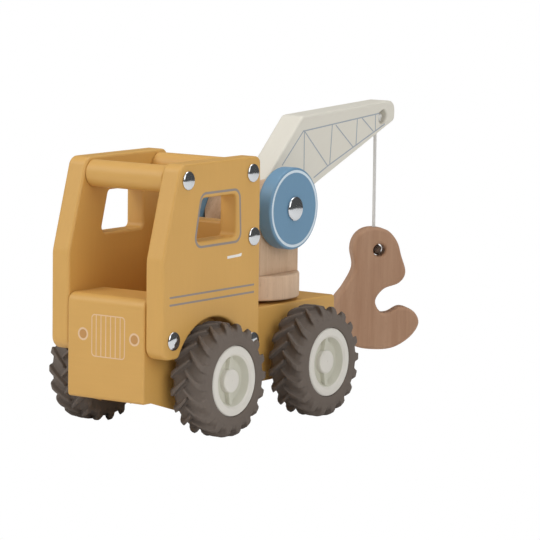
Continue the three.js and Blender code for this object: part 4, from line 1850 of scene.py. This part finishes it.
@dataclass
class Boom:
    """The boom, its axle, the two blue discs and their bolts."""

    pivot_y: float = 54.6
    pivot: float = 102.3
    thickness: float = 13.5
    end_radius: float = 10.1
    slope: float = math.radians(21.9)
    back_slope: float = math.radians(43.6)
    back_offset: float = 7.6
    knee_height: float = 144.9
    tip_top: float = 148.6
    tip_y: float = 171.0
    axle_bore: float = 5.1
    hole: Point = (159.6, 140.4)
    hole_radius: float = 3.75
    cord_y: float = 162.3
    channel: float = 1.5
    flare: float = 1.1
    edge: float = 1.3
    disc_inner: float = 17.6
    disc_thickness: float = 8.8
    disc_radius: float = 20.3
    disc_edge: float = 1.8
    disc_bore_floor: float = 3.0
    ring_inner: float = 17.8
    ring_outer: float = 19.1
    bolt_radius: float = 6.1
    bolt_height: float = 2.0
    bolt_length: float = 13.0
    bolt_shank: float = 2.0
    bolt_hole: float = 2.1
    truss_line: float = 0.6
    film: float = 0.05

    def underside(self, y: float) -> float:
        """The height of the boom's underside at a place along Y."""
        under_pivot = self.pivot - self.end_radius / math.cos(self.slope)
        return under_pivot + (y - self.pivot_y) * math.tan(self.slope)

    def beam(self) -> Mesh:
        """Makes the boom itself, with the hole and the cord's channel at its tip.

        Returns:
            The boom's mesh.
        """
        normal = self.back_slope + math.pi / 2
        back_meet = normal + math.acos(self.back_offset / self.end_radius)
        axle = (self.pivot_y, self.pivot)
        end = arc(axle, self.end_radius, back_meet, self.slope + 1.5 * math.pi, 32)
        foot = (
            self.pivot_y + self.back_offset * math.cos(normal),
            self.pivot + self.back_offset * math.sin(normal),
        )
        knee = foot[0] + (self.knee_height - foot[1]) / math.tan(self.back_slope)
        corners = [
            *end,
            (self.tip_y - 0.4, self.underside(self.tip_y - 0.4), 3.0),
            (self.tip_y, self.tip_top, 5.0),
            (knee, self.knee_height, 4.0),
        ]
        holes = [ring_outline(axle, self.axle_bore), ring_outline(self.hole, self.hole_radius)]
        half = self.thickness / 2
        blank = extruded_board(softened(corners, 8), holes, -half, half, self.edge)
        flare, below = self.channel + self.flare, self.hole[1] - 20
        lip = self.underside(self.cord_y) + 1.3
        reach = [(0, below), (flare, below), (flare, lip - self.flare), (self.channel, lip)]
        reach += [(self.channel, self.hole[1]), (0, self.hole[1])]
        channel = moved(turned(reach, Axis.Z, 24), (0, self.cord_y, 0))
        return carved(blank, [(channel, "DIFFERENCE")])

    def truss(self) -> Mesh:
        """Makes the printed truss on the boom's right face.

        Returns:
            The truss's lines.
        """
        chord = [(70.9, 121.5), (88.6, 137.3), (155.7, 142.3)]
        lower = [(98.3, 113.2), (110.2, 118.2), (160.9, 136.4)]
        braces = [
            ((89.5, 137.3), (89.5, 109.8)),
            ((89.5, 137.3), (110.2, 118.2)),
            ((113.8, 138.7), (112.0, 119.2)),
            ((117.1, 138.5), (132.4, 126.5)),
            ((136.1, 140.3), (135.2, 127.6)),
            ((140.6, 140.6), (150.4, 133.5)),
            ((152.5, 141.8), (152.6, 133.9)),
        ]
        strokes = [*zip(chord, chord[1:]), *zip(lower, lower[1:]), *braces]
        face = self.thickness / 2
        films = []
        for i, (a, b) in enumerate(strokes):
            lift = self.film + 0.004 * (i % 5)
            line = stroke_outline(a, b, self.truss_line)
            films.append(extruded_board(line, [], face - self.film, face + lift))
        return joined(films)

    def disc(self) -> Mesh:
        """Makes a right-hand disc, its printed ring as a second material.

        Returns:
            The disc's mesh.
        """
        inner, bore, radius = self.disc_inner, self.axle_bore, self.disc_radius
        outer = inner + self.disc_thickness
        floor = outer - self.disc_bore_floor
        corners = [
            (bore, inner),
            (radius, inner, self.disc_edge),
            (radius, outer, 1.2),
            (self.ring_outer, outer),
            (self.ring_inner, outer),
            (self.bolt_hole, outer),
            (self.bolt_hole, floor),
            (bore, floor),
            (bore, inner),
        ]
        bm = turned(softened(corners, 8, closed=False), segments=128)
        for piece in bm.faces:
            middle = piece.calc_center_median()
            reach = math.hypot(middle.y, middle.z)
            if middle.x > outer - 0.01 and self.ring_inner < reach < self.ring_outer:
                piece.material_index = 1
        return bm

    def bolt(self) -> Mesh:
        """Turns a right-hand bolt: a broad polished dome and its shank.

        Returns:
            The bolt's mesh.
        """
        seat = self.disc_inner + self.disc_thickness + 0.1
        tip = seat - self.bolt_length
        profile = [(0, tip), (self.bolt_shank, tip), (self.bolt_shank, seat)]
        dome = domed_head(self.bolt_radius, seat, self.bolt_height, 0.4)
        return turned([*profile, (self.bolt_radius - 0.3, seat), *dome], segments=64)

    def build(self, finishes: Finishes) -> None:
        """Makes the boom's pieces.

        Args:
            finishes: The truck's materials.
        """
        body, chrome = Body.BOOM, [finishes.chrome]
        finish_piece("crane_boom", self.beam(), body, [finishes.cream], ["boom"])
        dress_node("boom_axle", finishes.beech)
        place = (0, self.pivot_y, self.pivot)
        coats = [finishes.blue, finishes.ring_ink]
        for side in Side:
            label = side.label
            truss = on_side(self.truss(), side)
            finish_piece(f"truss_print_{label}", truss, body, [finishes.truss_ink])
            disc, bolt = (moved(on_side(bm, side), place) for bm in (self.disc(), self.bolt()))
            finish_piece(f"blue_disc_{label}", disc, body, coats, [f"disc_{label}"])
            node = f"disc_bolt_{label}"
            finish_piece(f"disc_cap_bolt_{label}", bolt, body, chrome, [node])


@dataclass
class Hook:
    """The wooden hook, cut from one board."""

    thickness: float = 9.0
    edge: float = 1.9
    turn: float = math.radians(51)
    cord_y: float = 162.3
    hole: Point = (2.3, 70.1)
    hole_radius: float = 3.2
    channel: float = 1.5
    steps: int = 6
    marks: tuple[Point, ...] = (
        (-0.4, 82.2), (-6.6, 81.0), (-10.9, 76.8), (-12.4, 70.6), (-11.2, 61.2),
        (-16.2, 51.6), (-20.9, 45.4), (-22.6, 38.0), (-19.6, 27.6), (-10.4, 19.8),
        (1.6, 17.7), (11.4, 18.8), (20.2, 24.2), (24.5, 31.1), (21.9, 37.2),
        (15.0, 40.2), (8.2, 37.3), (3.3, 37.8), (0.6, 43.5), (5.0, 49.5),
        (13.4, 52.6), (16.9, 58.2), (14.4, 67.2), (12.2, 74.3), (7.2, 80.2),
    )

    def outline(self) -> list[Point]:
        """Draws a smooth closed curve through the marks.

        Returns:
            The hook's outline: distance from the cord, and height.
        """
        count = len(self.marks)
        points = []
        for i in range(count):
            a, b, c, d = (Vector(self.marks[(i + k) % count]) for k in (-1, 0, 1, 2))
            for step in range(self.steps):
                t = step / self.steps
                curve = 2 * b + (c - a) * t + (2 * a - 5 * b + 4 * c - d) * t**2
                curve += (3 * b - a - 3 * c + d) * t**3
                points.append((curve.x / 2, curve.y / 2))
        return points

    def build(self, finishes: Finishes) -> None:
        """Makes the hook.

        Args:
            finishes: The truck's materials.
        """
        half = self.thickness / 2
        hole = ring_outline(self.hole, self.hole_radius, 40)
        blank = extruded_board(self.outline(), [hole], -half, half, self.edge, 5)
        low, over = self.hole[1], self.hole[1] + 20
        reach = [(0, low), (self.channel, low), (self.channel, over), (0, over)]
        channel = turned(reach, Axis.Z, 24)
        board = carved(moved(blank, turn_z=-math.pi / 2), [(channel, "DIFFERENCE")])
        hook = moved(board, (0, self.cord_y, 0), self.turn)
        finish_piece("wooden_hook", hook, Body.HOOK, [finishes.stain], ["hook"])


# ------------------------------------------------------------------ studio


@dataclass(frozen=True)
class SoftLight:
    """A soft studio lamp: where it stands, how big and how strong it is."""

    name: str
    place: tuple[float, float, float]
    size: float
    power: float
    aim: tuple[float, float, float] = (0.0, 0.0, 0.06)

    def build(self) -> None:
        """Puts the lamp in the scene."""
        data = bpy.data.lights.new(self.name, "AREA")
        data.size = self.size
        data.energy = self.power
        lamp = bpy.data.objects.new(self.name, data)
        lamp.location = self.place
        beam = Vector(self.aim) - Vector(self.place)
        lamp.rotation_euler = beam.to_track_quat("-Z", "Y").to_euler()
        bpy.context.scene.collection.objects.link(lamp)


@dataclass
class Studio:
    """The white floor, the soft lamps and the light of the room."""

    floor_half: float = 0.9
    floor_glow: float = 1.0
    room_strength: float = 0.62
    lamps: tuple[SoftLight, ...] = (
        SoftLight("key", (-0.9, -1.5, 1.5), 1.1, 19.0),
        SoftLight("fill", (1.6, -0.5, 0.9), 1.2, 9.5),
        SoftLight("top", (0.1, 0.3, 1.8), 1.0, 10.0),
    )

    def floor(self) -> None:
        """Lays the floor, which isn't part of the truck and is pure white to the camera."""
        bm = bmesh.new()
        bmesh.ops.create_grid(bm, x_segments=2, y_segments=2, size=self.floor_half)
        floor = loose_object("floor", bm)
        material = bpy.data.materials.new("white_floor")
        material.use_nodes = True
        graph = Graph(material.node_tree)
        values = {
            "Base Color": (0.9, 0.9, 0.9, 1),
            "Roughness": 0.9,
            "Specular IOR Level": 0.1,
        }
        shader = graph.add("ShaderNodeBsdfPrincipled", values)
        light = {"Color": (1, 1, 1, 1), "Strength": self.floor_glow}
        glow = graph.add("ShaderNodeEmission", light)
        seen = graph.add("ShaderNodeLightPath").outputs["Is Camera Ray"]
        sides = {0: seen, 1: shader.outputs[0], 2: glow.outputs[0]}
        both = graph.add("ShaderNodeMixShader", sides)
        graph.add("ShaderNodeOutputMaterial", {"Surface": both.outputs[0]})
        floor.data.materials.append(material)

    def room(self) -> None:
        """Lights the room: white behind, darker overhead, and dark walls in reflections."""
        world = bpy.data.worlds.new("room")
        bpy.context.scene.world = world
        world.use_nodes = True
        graph = Graph(world.node_tree)
        way = graph.add("ShaderNodeTexCoord").outputs["Generated"]
        height = graph.add("ShaderNodeSeparateXYZ", {"Vector": way}).outputs["Z"]
        level = graph.spread(height, 0.25, 0.75, 1.0, 0.35)
        lit = graph.maths("MULTIPLY", level, self.room_strength)
        wall = graph.spread(height, -0.16, -0.09, 0.75, 0.08)
        ceiling = graph.spread(height, 0.62, 0.8, 0.0, 0.7)
        mirrored = graph.maths("ADD", wall, ceiling)
        path = graph.add("ShaderNodeLightPath")
        glossy, seen = path.outputs["Is Glossy Ray"], path.outputs["Is Camera Ray"]
        bounced = graph.add("ShaderNodeMix", {0: glossy, 2: lit, 3: mirrored}).outputs[0]
        strength = graph.add("ShaderNodeMix", {0: seen, 2: bounced, 3: 1.0}).outputs[0]
        light = {"Color": (1, 1, 1, 1), "Strength": strength}
        sky = graph.add("ShaderNodeBackground", light)
        graph.add("ShaderNodeOutputWorld", {"Surface": sky.outputs[0]})

    def build(self) -> None:
        """Sets up the whole studio."""
        bpy.context.scene.view_settings.view_transform = "Standard"
        self.floor()
        self.room()
        for lamp in self.lamps:
            lamp.build()


def main() -> None:
    """Builds the truck, piece by piece, and then the studio."""
    logging.basicConfig(level=logging.INFO, format="%(name)s: %(message)s")
    Viewpoint().place()
    finishes = Finishes()
    HookCord().build(finishes)
    Cab().build(finishes)
    RunningGear(Wheel()).build(finishes)
    Turret().build(finishes)
    Boom().build(finishes)
    Hook().build(finishes)
    Studio().build()


if __name__ == "__main__":
    main()
